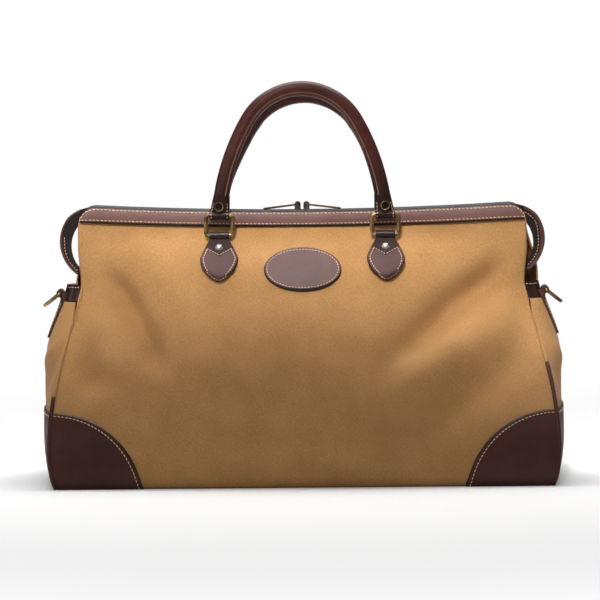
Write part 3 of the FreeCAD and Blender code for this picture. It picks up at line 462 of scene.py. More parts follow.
def stitches(name, body, rows, sizes):
    """Rows of short, plump stitches as one piece. A row is a list of (place, normal)."""
    pitch, long, wide = sizes
    corners, faces = [], []
    for row in rows:
        points = [place for place, _ in row]
        normals = [normal for _, normal in row]
        for centre, along in evenly(points, pitch):
            nearest = min(range(len(points)), key=lambda i: (points[i] - centre).length_squared)
            up = normals[nearest]
            side = along.cross(up).normalized()
            up = side.cross(along).normalized()
            along = (along + side * STITCH_LEAN).normalized()
            start = len(corners)
            for turn in np.linspace(0, math.pi, STITCH_RINGS):
                reach = -math.cos(turn) * long / 2
                radius = wide / 2 * max(STITCH_THIN, math.sin(turn) ** 0.6)
                middle = centre + along * reach + up * wide * STITCH_RISE
                spokes = ring(side * radius, up * radius * STITCH_FLAT, STITCH_SIDES)
                corners += [middle + spoke for spoke in spokes]
            faces += grid_faces(STITCH_RINGS, STITCH_SIDES, start, closed=True)
            faces += end_caps(STITCH_SIDES, start, len(corners) - STITCH_SIDES)
    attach(mesh_piece(name, corners, faces, THREAD), body)


def tube(name, points, radii, material, sides=12):
    """A round tube through points, with a radius for each."""
    corners, side = [], None
    for number, point in enumerate(points):
        before = points[max(number - 1, 0)]
        after = points[min(number + 1, len(points) - 1)]
        along = (after - before).normalized()
        if side is None:
            side = along.cross(Z if abs(along.z) < 0.9 else X).normalized()
        side = (side - along * side.dot(along)).normalized()
        corners += [point + spoke * radii[number] for spoke in ring(side, along.cross(side), sides)]
    faces = grid_faces(len(points), sides, closed=True) + end_caps(sides, 0, len(corners) - sides)
    return mesh_piece(name, corners, faces, material)


# ---- the soft body's faces

FACE_LEVELS = 60  # heights at which a face's half width is read
FACE_REACH = 0.32  # no face is wider than this to a side


class Face:
    """The outer face of one side of the bag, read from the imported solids.

    s runs along `across`, z is the height, and depth is how far the face stands out."""

    def __init__(self, names, across, outward, fold=False):
        self.probe = Probe(*names)
        self.across, self.outward, self.fold = across, outward, fold
        low = min(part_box(name)[0].z for name in names)
        self.high = max(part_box(name)[1].z for name in names)
        self.known = [z for z in np.linspace(low + MM, self.high - MM, FACE_LEVELS) if self.edge_is_clear(z)]
        self.edges = [self.find_edge(z) for z in self.known]

    def edge_is_clear(self, z):
        """Whether a height is away from the fold, which parts the solids."""
        return not self.fold or not HINGE_Z - FOLD_BAND < z < HINGE_Z + FOLD_BLUR

    def at(self, s, z):
        return self.probe.meet(self.across * s + Z * z + self.outward * FAR, -self.outward)

    def depth_at(self, s, z):
        place, normal = self.at(s, z)
        if place is None:
            return None
        depth = place.dot(self.outward)
        if depth <= 0 or self.fold and normal.dot(self.outward) < FACING:
            return None
        if self.fold and abs(z - (HINGE_Z - FOLD_SLOPE * depth) + FOLD_BLUR / 2) < FOLD_BLUR:
            return None
        return depth

    def find_edge(self, z):
        return furthest(lambda s: self.depth_at(s, z) is not None, FACE_REACH, 18)

    def edge(self, z):
        return float(np.interp(z, self.known, self.edges))

    def depths(self, heights, shares):
        """Depth of the face at each height and share of its half width, gaps filled in."""
        table = np.full((len(heights), len(shares)), np.nan)
        for row, z in enumerate(heights):
            edge = self.edge(z) - READ_INSIDE
            for column, share in enumerate(shares):
                depth = self.depth_at(share * edge, z)
                if depth is not None:
                    table[row, column] = depth
        for column in range(len(shares)):
            line = table[:, column]
            good = ~np.isnan(line)
            table[:, column] = np.interp(heights, np.array(heights)[good], line[good])
        for _ in range(2):
            table[1:-1] = (table[:-2] + 2 * table[1:-1] + table[2:]) / 4
        return table

    def sheet(self, heights, shares):
        """Places of a grid on the face, their normals, and how far in from the side edge they are."""
        edges = np.array([self.edge(z) for z in heights])[:, None]
        axes = [np.array(axis) for axis in (self.across, self.outward, Z)]
        grids = [shares * edges, self.depths(heights, shares), heights[:, None] + 0 * shares]
        places = sum(grid[..., None] * axis for grid, axis in zip(grids, axes))
        normals = np.cross(np.gradient(places, axis=1), np.gradient(places, axis=0))
        normals /= np.linalg.norm(normals, axis=2, keepdims=True) + 1e-12
        facing = np.where(normals @ axes[1] < 0, -1, 1)
        return places, normals * facing[..., None], edges - abs(grids[0])


def ridge(s, z, start, end, width, height, bend=0.0):
    """A soft fold along a line, faded at both ends. Height below 0 is a hollow."""
    (s0, z0), (s1, z1) = start, end
    ds, dz = s1 - s0, z1 - z0
    length = math.hypot(ds, dz)
    along = ((s - s0) * ds + (z - z0) * dz) / length
    aside = ((s - s0) * -dz + (z - z0) * ds) / length
    share = along / length
    aside = aside - bend * 4 * share * (1 - share)
    fade = smooth(share, -0.25, 0.3) * (1 - smooth(share, 0.7, 1.25))
    return height * fade * np.exp(-(aside / width) ** 2)


def ripples(s, z, seed, size, height):
    """Small uneven waves of the cloth."""
    waves = [noise.noise(Vector((a / size, b / size, seed))) for a, b in zip(s.ravel(), z.ravel())]
    return np.reshape(waves, s.shape) * height


def cloth_piece(name, places):
    """A thick cloth through a grid of places; each corner keeps its place on the flat weave."""
    rows, columns = places.shape[:2]
    piece = mesh_piece(name, places.reshape(-1, 3), grid_faces(rows, columns), CANVAS)
    weave = np.zeros((rows, columns, 3))
    weave[:, 1:, 0] = np.cumsum(np.linalg.norm(np.diff(places, axis=1), axis=2), axis=1)
    weave[1:, :, 1] = np.cumsum(np.linalg.norm(np.diff(places, axis=0), axis=2), axis=0)
    attribute = piece.data.attributes.new("weave_place", "FLOAT_VECTOR", "POINT")
    attribute.data.foreach_set("vector", weave.astype(np.float32).ravel())
    thick = piece.modifiers.new("Solidify", "SOLIDIFY")
    thick.thickness, thick.offset = CLOTH_THICK, -1
    graph = bpy.context.evaluated_depsgraph_get()
    mesh = bpy.data.meshes.new_from_object(piece.evaluated_get(graph))
    piece.modifiers.clear()
    piece.data = mesh
    return piece


FRONT_FOLDS = [
    # start, end, width, height, bend: metres across and up
    ((-0.202, 0.210), (-0.150, 0.126), 0.013, -0.0180, 0.004),
    ((-0.168, 0.240), (-0.112, 0.166), 0.016, 0.0034, 0.004),
    ((-0.240, 0.170), (-0.196, 0.112), 0.020, 0.0050, 0.0),
    ((-0.110, 0.232), (-0.060, 0.196), 0.018, -0.0018, 0.0),
    ((0.208, 0.214), (0.090, 0.128), 0.017, -0.0175, -0.004),
    ((0.236, 0.164), (0.092, 0.090), 0.021, 0.0072, -0.010),
    ((0.214, 0.204), (0.176, 0.190), 0.012, -0.0030, 0.0),
    ((0.246, 0.132), (0.105, 0.056), 0.026, -0.0125, 0.0),
    ((-0.242, 0.150), (-0.216, 0.096), 0.018, -0.0150, 0.0),
    ((-0.060, 0.178), (0.050, 0.174), 0.026, 0.0016, 0.0),
    ((-0.150, 0.098), (0.060, 0.092), 0.026, -0.0034, 0.0),
    ((-0.100, 0.046), (0.130, 0.044), 0.022, 0.0024, 0.0),
]
BACK_FOLDS = [
    ((-0.210, 0.220), (-0.090, 0.150), 0.018, -0.0060, 0.006),
    ((-0.225, 0.170), (-0.130, 0.110), 0.018, 0.0045, 0.008),
    ((0.205, 0.215), (0.120, 0.140), 0.016, -0.0060, -0.006),
    ((0.160, 0.220), (0.080, 0.170), 0.016, 0.0030, 0.0),
    ((0.228, 0.150), (0.170, 0.085), 0.020, 0.0035, 0.0),
    ((-0.050, 0.160), (0.070, 0.168), 0.030, 0.0022, 0.0),
    ((-0.090, 0.075), (0.110, 0.082), 0.034, -0.0030, 0.0),
]
END_FOLDS = [
    ((-0.050, 0.150), (-0.020, 0.120), 0.010, 0.0030),
    ((0.052, 0.146), (0.022, 0.124), 0.011, 0.0030),
    ((-0.070, 0.128), (-0.030, 0.098), 0.012, -0.0030),
    ((0.072, 0.126), (0.034, 0.100), 0.012, -0.0030),
]


CALM_REACH = 0.85  # the cloth comes free over this share of the trim's size


def calm(s, z, side):
    """1 on free cloth, falling to 0 where trim is sewn down."""
    zones = []
    for name in [f"{side}_chape_left", f"{side}_chape_right"] + ["front_badge"] * (side == "front"):
        low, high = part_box(name)
        zones.append(((low + high) / 2, (high - low) / 2))
    for end in ENDS:
        low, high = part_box(f"corner_patch_{side}_{end}")
        zones.append((low if end == "left" else Vector((high.x, 0, low.z)), high - low))
    mask = np.ones_like(s)
    for centre, half in zones:
        distance = np.hypot((s - centre.x) / half.x, (z - centre.z) / half.z)
        mask *= smooth(distance, 1.0, 1.0 + CALM_REACH)
    return mask


CLOTH_COLUMNS, CLOTH_ROWS = 141, 97
FOOT_ROWS = 7  # closer rows in the cloth's lowest 12 mm
CROWDING = 0.94  # how much the cloth's columns crowd towards its side edges
FOLD_SPAN = (-8 * MM, 34 * MM)  # two distances above the fold, along its fall; the places found from them are not used
BAND_HOLDS = (0.246, 0.262)  # the cloth is held flat by the band above these heights
SEAM_HOLDS = (4 * MM, 36 * MM)  # and by its side seam and its foot up to these distances
FOOT_HOLDS = (6 * MM, 40 * MM)
EAR_STEPS = ((1.2, 1.0), (2.2, 3.6), (2.6, 6.8), (2.4, 10.0), (1.6, 12.6))  # mm out and back
TUCK_STEPS = ((0.6, 0.8), (0.2, 1.8), (-1.0, 2.6), (-2.6, 3.2), (-4.0, 3.6))
# the back cloth's ears beside the front: how far out, at which height, and half how tall
EARS = {"right": (15 * MM, 0.205, 0.062), "left": (6 * MM, 0.200, 0.030)}


def cloth_edge(rim, heights, out_sign, back_sign):
    """Lines that carry the cloth round its side edge: an ear above, a tuck under the piping below."""
    wrap = smooth(heights, HINGE_Z - 26 * MM, HINGE_Z + 2 * MM)
    lines = []
    for ear, tuck in zip(EAR_STEPS, TUCK_STEPS):
        out, back = ((wrap * above + (1 - wrap) * below) * MM for above, below in zip(ear, tuck))
        line = rim.copy()
        line[:, 0] += out_sign * out
        line[:, 1] -= back_sign * np.minimum(back, abs(rim[:, 1]) - 1.5 * MM)
        lines.append(line)
    return lines


def side_cloth(side):
    """One continuous canvas over the lower and upper solids of a long side."""
    outward = OUTWARD[side]
    sign = 1 if side == "front" else -1
    face = Face([f"{side}_panel_lower", f"{side}_panel_upper"], X * sign, outward, fold=True)
    foot = np.linspace(0.6 * MM, 12 * MM, FOOT_ROWS + 1)[:-1]
    heights = np.concatenate((foot, np.linspace(12 * MM, face.high - 1.5 * MM, CLOTH_ROWS)))
    turn = math.pi / 2 * CROWDING
    shares = np.sin(np.linspace(-turn, turn, CLOTH_COLUMNS)) / math.sin(turn)
    places, normals, inward = face.sheet(heights, shares)

    x, z = places[..., 0], places[..., 2]
    push = sum(ridge(x, z, *fold) for fold in (FRONT_FOLDS if side == "front" else BACK_FOLDS))
    push = push + ripples(x, z, 3.1 if side == "front" else 8.7, 0.070, 0.0016)
    push = push + ripples(x, z, 5.3 if side == "front" else 1.9, 0.028, 0.0006)
    still = smooth(inward, *SEAM_HOLDS) * smooth(z, *FOOT_HOLDS) * (1 - smooth(z, *BAND_HOLDS))
    places = places + normals * (push * still * calm(x, z, side))[..., None]

    edges = np.array([face.edge(z) for z in heights])
    columns = list(places.swapaxes(0, 1).copy())
    for end, inner in ((-1, 0), (1, -1)):
        world_end = end * sign
        rim = columns[inner].copy()
        flare = 0.0 * heights
        if side == "back":
            out, height, half = EARS[ENDS[world_end > 0]]
            flare = out * bump_of(heights, height, half)
        for column in columns:
            weight = smooth(abs(column[:, 0]) / edges, 0.86, 1.0) * (np.sign(column[:, 0]) == world_end)
            column[:, 0] += world_end * flare * weight
        rim[:, 0] += world_end * flare
        extra = cloth_edge(rim, heights, world_end, outward.y)
        columns = extra[::-1] + columns if end < 0 else columns + extra

    piece = cloth_piece(f"canvas_{side}", np.stack(columns, axis=1))
    fall = Vector((0, outward.y * FOLD_SLOPE, 1)).normalized()
    hinge = Vector((0, 0, HINGE_Z))
    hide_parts(f"{side}_panel_lower", f"{side}_panel_upper")
    start, end = (hinge + fall * reach for reach in FOLD_SPAN)
    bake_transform(piece)
    return face


GUSSET_COLUMNS, GUSSET_ROWS = 61, 74
GUSSET_SEAM_HOLDS = (2 * MM, 20 * MM)
GUSSET_FOOT_HOLDS = (0.078, 0.092)  # the leather foot holds the cloth below these heights
TAB_HOLDS = (6 * MM, 20 * MM)  # the ring tab holds the cloth this far out from its edge
TAB_BELOW = 12 * MM


def end_cloth(end):
    """Canvas end panel, with its soft middle crease and pinched folds."""
    sign = -1 if end == "left" else 1
    face = Face([f"{end}_gusset"], Y * sign, OUTWARD[end])
    heights = np.linspace(0.8 * MM, face.high - 0.6 * MM, GUSSET_ROWS)
    places, normals, inward = face.sheet(heights, np.linspace(-1, 1, GUSSET_COLUMNS))
    y, z = places[..., 1], places[..., 2]
    push = sum(ridge(y, z, *fold) for fold in END_FOLDS) + ripples(y, z, 4.4 + sign, 0.034, 0.0012)
    tab_low, tab_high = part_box(f"{end}_ring_tab")
    beside, clear = (tab_high.y + hold for hold in TAB_HOLDS)
    free = np.maximum(smooth(abs(y), beside, clear), z < tab_low.z - TAB_BELOW)
    still = smooth(inward, *GUSSET_SEAM_HOLDS) * smooth(z, *GUSSET_FOOT_HOLDS) * free
    piece = cloth_piece(f"canvas_{end}_end", places + normals * (push * still)[..., None])
    dress(piece, "bag", "canvas", f"{end}_gusset")


# ---- leather trim on the faces

PATCH_RINGS = (0.0, 0.2, 0.4, 0.6, 0.8, 0.92, 0.965, 0.982, 0.993, 1.0, 1.0)
PATCH_LIFTS = (1.0, 1.0, 1.0, 1.0, 1.0, 1.0, 0.98, 0.90, 0.70, 0.35, -0.4)
PATCH_EDGE = 3  # outer bands of faces that are its painted edge
PATCH_TURNS = 37
PATCH_STITCH_IN = 0.952  # the thread's line, in shares of the patch's size
PATCH_FOOT = 0.4 * MM


def corner_patch(side, end, face):
    """Leather over a lower corner: a quarter oval with a rounded, painted edge."""
    name = f"corner_patch_{side}_{end}"
    low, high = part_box(name)
    wide, tall = high.x - low.x, high.z - low.z
    sign = 1 if (end == "right") == (side == "front") else -1
    edge_low = face.edge(low.z + 2 * MM)

    def spot(share, turn, lift):
        z = low.z + PATCH_FOOT + share * tall * math.cos(turn)
        edge = face.edge(z)
        s = edge - share * wide * math.sin(turn) * edge / edge_low + 0.3 * MM
        z = max(z, 0.8 * MM)
        place, normal = face.at(sign * min(s / edge, 1.0) * (face.edge(z) - READ_INSIDE), z)
        return place + normal * lift * LEATHER_THICK, normal

    turns = np.linspace(0, math.pi / 2, PATCH_TURNS)
    corners = [spot(share, turn, lift)[0] for turn in turns for share, lift in zip(PATCH_RINGS, PATCH_LIFTS)]
    count = len(PATCH_RINGS)
    faces = grid_faces(PATCH_TURNS, count, flip=(sign < 0))
    piece = mesh_piece(name + "_leather", corners, faces, DARK_BROWN, EDGE_BLACK)
    paint_edges(piece, lambda number: number % (count - 1) >= count - 1 - PATCH_EDGE)
    dress(piece, "bag", "patch_leather", name)
    steps = PATCH_TURNS * 2
    return [spot(PATCH_STITCH_IN, math.pi / 2 * (step + 0.5) / steps, 1.0) for step in range(steps)]


SHEET_TURNS = 120
SHEET_SHARES = (0.0, 0.25, 0.5, 0.75, 0.9, 0.96, 1.0)
SHEET_LIFTS = (1.15, 1.14, 1.1, 1.05, 1.0, 0.95, 0.82)


def cut_sheet(name, flat, centre, thick, distance, rim, material):
    """A domed leather piece on a flat one, with a black bevelled rim.

    distance(ray, edge) and rim(ray) give its outline and its rim's width in each direction; black added to
    the rim below is painted shadow."""
    corners = []
    for ray in ring(Z.cross(flat.outward).normalized(), Z, SHEET_TURNS):
        edge = flat.edge(centre, ray)
        full = distance(ray, edge)
        face = full - rim(ray)
        stops = [(face * share, lift) for share, lift in zip(SHEET_SHARES, SHEET_LIFTS)]
        stops += [(face + (full - face) * 0.5, 0.5), (full, -0.1), (full, -1.4)]
        for along, lift in stops:
            place, normal = flat.beyond(centre, ray, edge, along)
            corners.append(place + normal * thick * lift)
    count = len(SHEET_SHARES) + 3
    faces = [[corner % len(corners) for corner in face] for face in grid_faces(SHEET_TURNS + 1, count)]
    piece = mesh_piece(name, corners, faces, material, EDGE_BLACK)
    paint_edges(piece, lambda number: number % (count - 1) >= len(SHEET_SHARES) - 1)
    return piece


LEAF_CENTRE, SHOULDER = 0.42, 0.66  # places on a chape, in shares of its height
NOTCH_DEEP = 8.0 * MM  # the neck's lower edge dips this far between its two shoulders
RIM_WITH_PAINTED_SHADOW = (0.9 * MM, 1.3 * MM)  # a cut edge's width above, and what it gains below, which is painted shadow under the piece
NOTCH_RIM = 0.4 * MM
THREAD_IN = 3.2 * MM  # thread runs this far inside an outline
LEAF_THICK = 1.1 * MM
NECK_THREAD = (0.86, 0.02)  # its row starts and ends here, in shares of the half width
NECK_THREAD_UP = 1.3 * MM
NECK_THREAD_OFF = 0.3 * MM


# The black rim grows on the lower side: the painted edge above, with painted shadow under the piece added
# below.
def rim_with_painted_shadow(ray):
    return RIM_WITH_PAINTED_SHADOW[0] + RIM_WITH_PAINTED_SHADOW[1] * max(0.0, -ray.z)


def chape_dressing(side):
    """The leaves of the chapes, cut to a notch under the dark necks, and all their thread."""
    outward = OUTWARD[side]
    rows = []
    for end in ENDS:
        name = f"{side}_chape_{end}"
        low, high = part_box(name)
        flat = Flat(outward, name)
        middle = (low.x + high.x) / 2
        centre = Vector((middle, 0, low.z + (high.z - low.z) * LEAF_CENTRE))
        shoulder = low.z + (high.z - low.z) * SHOULDER
        wide = flat.edge(Vector((middle, 0, shoulder)), X)
        notch = shoulder - NOTCH_DEEP
        slope = NOTCH_DEEP / wide

        def distance(ray, edge):
            if ray.z > abs(ray.x) * slope:
                return min(edge, (notch - centre.z) / (ray.z - abs(ray.x) * slope))
            return edge

        def rim(ray):
            # Away from the notch the rim carries painted shadow on its lower side.
            return NOTCH_RIM if ray.z > abs(ray.x) * 0.6 else rim_with_painted_shadow(ray)

        # The leaf's lighter brown is painted sheen.
        leaf = cut_sheet(f"{name}_leaf", flat, centre, LEAF_THICK, distance, rim, LEAF_BROWN_PAINTED_SHEEN)
        dress(leaf, f"{side}_frame", "trim_leather")
        rays = ring(Z.cross(outward).normalized(), Z, 180, closed=True)
        border = flat.line(centre + ray * (flat.edge(centre, ray) - THREAD_IN) for ray in rays)
        border = [spot for spot in border if spot[0].z < shoulder - 1.0 * MM]
        border.sort(key=lambda spot: math.atan2(spot[0].x - middle, -(spot[0].z - centre.z)))
        rows.append([(place + normal * LEAF_THICK, normal) for place, normal in border])
        for sign in (-1, 1):
            line = []
            for reach in np.linspace(*NECK_THREAD, 9) * wide:
                line.append(Vector((middle + sign * reach, 0, notch + slope * reach + NECK_THREAD_UP)))
            rows.append([(place + normal * NECK_THREAD_OFF, normal) for place, normal in flat.line(line)])
    stitches(f"{side}_chape_stitching", f"{side}_frame", rows, LEAF_THREAD)


# ---- the badge

BADGE_TALLER = 2.4 * MM  # added above and below to the flat oval underneath
BADGE_DROP = 1.4 * MM
BADGE_THICK = 1.3 * MM


def badge():
    """Bare oval badge, slightly domed, with a black cut edge, widened below by painted shadow, and thread
    round it.
    """
    low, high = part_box("front_badge")
    flat = Flat(-Y, "front_badge")
    centre = Vector((0, 0, (low.z + high.z) / 2 - BADGE_DROP))
    wide, tall = (high.x - low.x) / 2, (high.z - low.z) / 2 + BADGE_TALLER

    def oval(ray, _):
        return 1 / math.hypot(ray.x / wide, ray.z / tall)

    # The badge's lighter brown is painted sheen.
    piece = cut_sheet("front_badge_leather", flat, centre, BADGE_THICK, oval, rim_with_painted_shadow, BADGE_BROWN_PAINTED_SHEEN)
    dress(piece, "front_frame", "patch_leather", "front_badge")
    row = []
    for ray in ring(X, Z, 240, closed=True):
        edge = flat.edge(centre, ray)
        place, normal = flat.beyond(centre, ray, edge, oval(ray, edge) - THREAD_IN)
        row.append((place + normal * BADGE_THICK, normal))
    stitches("front_badge_stitching", "front_frame", [row], LEAF_THREAD)


# ---- handles

GRIP_STEPS = 121
GRIP_TURNS = 30
SEAM_TURN = 58.0  # degrees round the grip from the hollow of the arch
SEAM_PROFILE = ((-9, 1.0), (-5, 1.04), (0, 1.06), (5, 1.04), (9, 1.0))
SEAM_ROOM = 12  # degrees either side of the seam that only its own profile fills
END_STITCH_IN = 1.9 * MM
TRUE_TUBE = (0.97, 1.08)  # a reading across the grip is kept between these shares of its width
GRIP_SCAN = 0.25 * MM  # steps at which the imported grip's width is read
LEG_UP = 14 * MM  # its legs are read this far above their ends
LEAN_OVER = (6.0 * MM, 4.5 * MM)  # the back grip's left leg stands in, and its crown sags, by this much
LEANS_WITHIN = 60 * MM  # the lean is full this far above the feet
SAGS_ABOVE = 40 * MM  # and the sag starts this far above them


def grip_line(side):
    """The line that a packed grip follows, its radius, and the middle of its arch."""
    low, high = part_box(f"{side}_handle_grip")
    probe = Probe(f"{side}_handle_grip")

    def band(start, direction):
        """Middle and half width across the grip, and its furthest place, seen along a direction."""
        depths = np.arange(low.y - MM, high.y + MM, GRIP_SCAN)
        spots = [(y, probe.meet(start + Y * y, direction)[0]) for y in depths]
        spots = [(y, spot) for y, spot in spots if spot is not None]
        first, last = spots[0][0], spots[-1][0]
        return (last + first) / 2, (last - first) / 2, max(spot.z for _, spot in spots)

    crown_y, radius, crown_z = band(Z * FAR, -Z)
    leg_z = low.z + LEG_UP
    middle = Vector((0, band(X * FAR + Z * leg_z, -X)[0], leg_z))
    up = (Vector((0, crown_y, crown_z - radius)) - middle).normalized()
    points = []
    for angle in np.linspace(-0.4, math.pi + 0.4, GRIP_STEPS):
        ray = X * math.cos(angle) + up * math.sin(angle)
        outer, _ = probe.meet(middle + ray * FAR, -ray)
        inner, _ = probe.meet(middle, ray)
        if outer and inner and TRUE_TUBE[0] < (outer - inner).length / (2 * radius) < TRUE_TUBE[1]:
            points.append((outer + inner) / 2)
    across = X.cross(up).normalized()
    across *= 1 if across.dot(OUTWARD[side]) > 0 else -1
    for _ in range(2):
        step = (points[-1] - points[-2]).normalized() * MM
        while probe.meet(points[-1] + step + across * 2 * radius, -across)[0] is not None:
            points.append(points[-1] + step)
        points.reverse()
    if side == "back":
        feet, top, wide = points[0].z, max(point.z for point in points), 2 * high.x
        for number, point in enumerate(points):
            lean = smooth(point.z, feet, feet + LEANS_WITHIN) * (0.5 - point.x / wide)
            sag = smooth(point.z, feet + SAGS_ABOVE, top)
            points[number] = point + X * LEAN_OVER[0] * lean - Z * LEAN_OVER[1] * sag
    return points, radius, middle, across


def grip(side):
    """Rolled grip with its closing seam."""
    points, radius, middle, across = grip_line(side)
    turns = [(360 * step / GRIP_TURNS, 1.0) for step in range(GRIP_TURNS)]
    turns = [turn for turn in turns if abs(turn[0] - SEAM_TURN) > SEAM_ROOM]
    turns = sorted(turns + [(SEAM_TURN + turn, reach) for turn, reach in SEAM_PROFILE])
    corners = []
    for number, point in enumerate(points):
        along = (points[min(number + 1, len(points) - 1)] - points[max(number - 1, 0)]).normalized()
        hollow = along.cross(across).normalized()
        hollow *= 1 if hollow.dot(middle - point) > 0 else -1
        uneven = 1 + 0.012 * noise.noise(point * 60)
        for turn, reach in turns:
            angle = math.radians(turn)
            spoke = hollow * math.cos(angle) + across * math.sin(angle)
            corners.append(point + spoke * radius * reach * uneven)
    faces = grid_faces(len(points), len(turns), closed=True)
    piece = mesh_piece(f"{side}_grip_leather", corners, faces, HANDLE_BROWN, SEAM_TAN)
    seam = [number for number, (turn, _) in enumerate(turns) if -6 < turn - SEAM_TURN < 1]
    paint_edges(piece, lambda number: number % len(turns) in seam)
    dress(piece, f"{side}_handle", "handle_leather", f"{side}_handle_grip")


STUD_RING = (4.3 * MM, 0.55 * MM)  # line and wire of the brass ring on a stud


def stud_rings(side):
    """Brass rings round the dark caps at a handle's feet."""
    flat = Flat(OUTWARD[side], f"{side}_handle_studs", f"{side}_handle_ends")
    low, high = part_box(f"{side}_handle_studs")
    for end, x in zip(ENDS, (low.x, high.x)):
        middle = x - math.copysign(STUD_RING[0] + 0.3 * MM, x)
        centre = Vector((middle, 0, (low.z + high.z) / 2))
        line = []
        for ray in ring(X, Z, 48, closed=True):
            place, normal = flat.at(centre + ray * (STUD_RING[0] - 0.4 * MM))
            line.append(place + ray * 0.4 * MM + normal * 0.15 * MM)
        piece = tube(f"{side}_stud_ring_{end}", line, [STUD_RING[1]] * len(line), BRASS, 8)
        dress(piece, f"{side}_handle", "antique_brass")


def end_stitching(side):
    """Thread down both edges of a handle's flattened ends."""
    flat = Flat(OUTWARD[side], f"{side}_handle_ends")
    low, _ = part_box(f"{side}_handle_ends")
    stud_low, stud_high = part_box(f"{side}_handle_studs")
    rows = []
    for end in ENDS:
        middle = sum(corner.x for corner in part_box(f"{side}_ring_{end}")) / 2
        heights = np.linspace(low.z + 1.2 * MM, (stud_low.z + stud_high.z) / 2 + 4 * MM, 12)
        spots = [Vector((middle, 0, z)) for z in heights]
        for ray in (-X, X):
            reaches = [flat.edge(spot, ray, 0.02) - END_STITCH_IN for spot in spots]
            rows.append(flat.line(spot + ray * reach for spot, reach in zip(spots, reaches)))
    stitches(f"{side}_end_stitching", f"{side}_handle", rows, STRAP_THREAD)


# ---- the bands over the frames

BAND_COLUMNS = 121
BAND_PROFILE = 9  # points down the band's face
BAND_EDGES_AND_PAINTED_SHADOW = (1.9 * MM, 2.1 * MM)  # black painted edges along the top and the bottom; the bottom one, faced forward, is also painted shadow under the band
BAND_CROWN = 0.9 * MM
BAND_LEAN = (-1.2 * MM, 0.6 * MM)  # the band's face stands off this much at its top and its bottom
BAND_THREAD_AT = (0.10, 0.90)  # the two rows, in shares of the face's height


def top_band(side):
    """Leather band folded over the mouth frame: crowned, with rounded, painted edges."""
    name = f"{side}_top_band"
    outward = OUTWARD[side]
    low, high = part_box(name)
    probe = Probe(name)
    back, front = sorted((abs(low.y), abs(high.y)))
    inside = front - 1.7 * MM
    columns = np.sin(np.linspace(-1, 1, BAND_COLUMNS) * math.pi / 2) * (high.x - 0.05 * MM)
    corners, threads = [], [[], []]
    for x in columns:
        over, _ = probe.meet(Vector((x, outward.y * (front + back) / 2, FAR)), -Z)
        under, _ = probe.meet(Vector((x, outward.y * (front - 0.8 * MM), 0)), Z)
        if over is None or under is None:
            continue
        top, foot = over.z, under.z

        def on_face(share):
            crown = BAND_CROWN * math.sin(math.pi * share)
            lean = BAND_LEAN[0] * (1 - share) + BAND_LEAN[1] * share
            return front + crown + lean, top - BAND_EDGES_AND_PAINTED_SHADOW[0] - (top - foot - sum(BAND_EDGES_AND_PAINTED_SHADOW)) * share

        # from the back edge over the top, down the face, and up again inside
        rows = [(back, top - 0.3 * MM), (back + 1.5 * MM, top)]
        rows += [(front - 3.0 * MM, top), (front - 1.9 * MM, top - 0.4 * MM)]
        rows += [on_face(step / (BAND_PROFILE - 1)) for step in range(BAND_PROFILE)]
        # The black lip at the foot is turned to face forward: the band's painted edge, and painted shadow
        # under the band.
        rows += [(front + 0.1 * MM, foot + 0.3 * MM), (front - 0.6 * MM, foot), (inside, foot + 0.2 * MM)]
        rows += [(inside, top - 2.2 * MM), (back, top - 1.9 * MM)]
        count = len(rows)
        corners += [Vector((x, outward.y * depth, z)) for depth, z in rows]
        for row, share in zip(threads, BAND_THREAD_AT):
            depth, z = on_face(share)
            row.append((Vector((x, outward.y * depth, z)), outward))
    last = len(corners) - count
    faces = grid_faces(len(corners) // count, count, closed=True, flip=(side == "back"))
    faces += [list(range(count)), [last + number for number in reversed(range(count))]]
    # The band's lighter brown is painted sheen.
    piece = mesh_piece(f"{side}_band_leather", corners, faces, BAND_BROWN_PAINTED_SHEEN, EDGE_BLACK)
    paint_edges(piece, lambda number: number < last and not 4 <= number % count < BAND_PROFILE + 3)
    dress(piece, f"{side}_frame", "trim_leather", name)
    rows = [row[3:-3] for row in threads]
    for end in (3, -4):
        upper, lower = threads[0][end][0], threads[1][end][0]
        rows.append([(upper.lerp(lower, step / 6), outward) for step in range(7)])
    stitches(f"{side}_band_stitching", f"{side}_frame", rows, THICK_THREAD)


# ---- the zip's end loops and the hinge covers

LOOP_MIDDLE = (0.236, 0.248)
LOOP_TURNS = (-94, 100)  # degrees from straight outwards, round the loop
LOOP_RIM = {"left": 1.5 * MM, "right": 2.5 * MM}
LOOP_RIM_DEEP = 1.9 * MM
LOOP_SIDES = 12
LOOP_LEAST = 12 * MM  # nearer to its middle than this is no longer the loop's outer edge
LEFT_THREAD_TO = 0.4  # radians round the left loop at which its thread stops


def loop_trim(side):
    """Bound outer edges of the zip's end loops, with thread along them."""
    outward = OUTWARD[side]
    probe = Probe(f"{side}_zip_ends")
    near, far = sorted(abs(corner.y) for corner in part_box(f"{side}_zip_ends"))
    rows = []
    for end, sign in zip(ENDS, (-1, 1)):
        middle = Vector((sign * LOOP_MIDDLE[0], outward.y * (near + far) / 2, LOOP_MIDDLE[1]))
        half = LOOP_RIM[end]
        corners, line = [], []
        for angle in np.radians(np.linspace(*LOOP_TURNS, 61)):
            ray = X * sign * math.cos(angle) + Z * math.sin(angle)
            place, _ = probe.meet(middle + ray * 0.1, -ray)
            if place is None or (place - middle).length < LOOP_LEAST:
                continue
            spine = place - ray * (half - 0.5 * MM) + outward * 0.3 * MM
            corners += [spine + spoke for spoke in ring(ray * half, outward * LOOP_RIM_DEEP, LOOP_SIDES)]
            if end == "right" or angle < LEFT_THREAD_TO:
                line.append((place - ray * (2 * half + 1.4 * MM) + outward * (far - near) / 2, outward))
        faces = grid_faces(len(corners) // LOOP_SIDES, LOOP_SIDES, closed=True)
        rim = mesh_piece(f"{side}_loop_rim_{end}", corners, faces, TRIM_BROWN)
        dress(rim, f"{side}_frame", "trim_leather")
        rows.append(line)
    stitches(f"{side}_loop_stitching", f"{side}_frame", rows, FINE_THREAD)


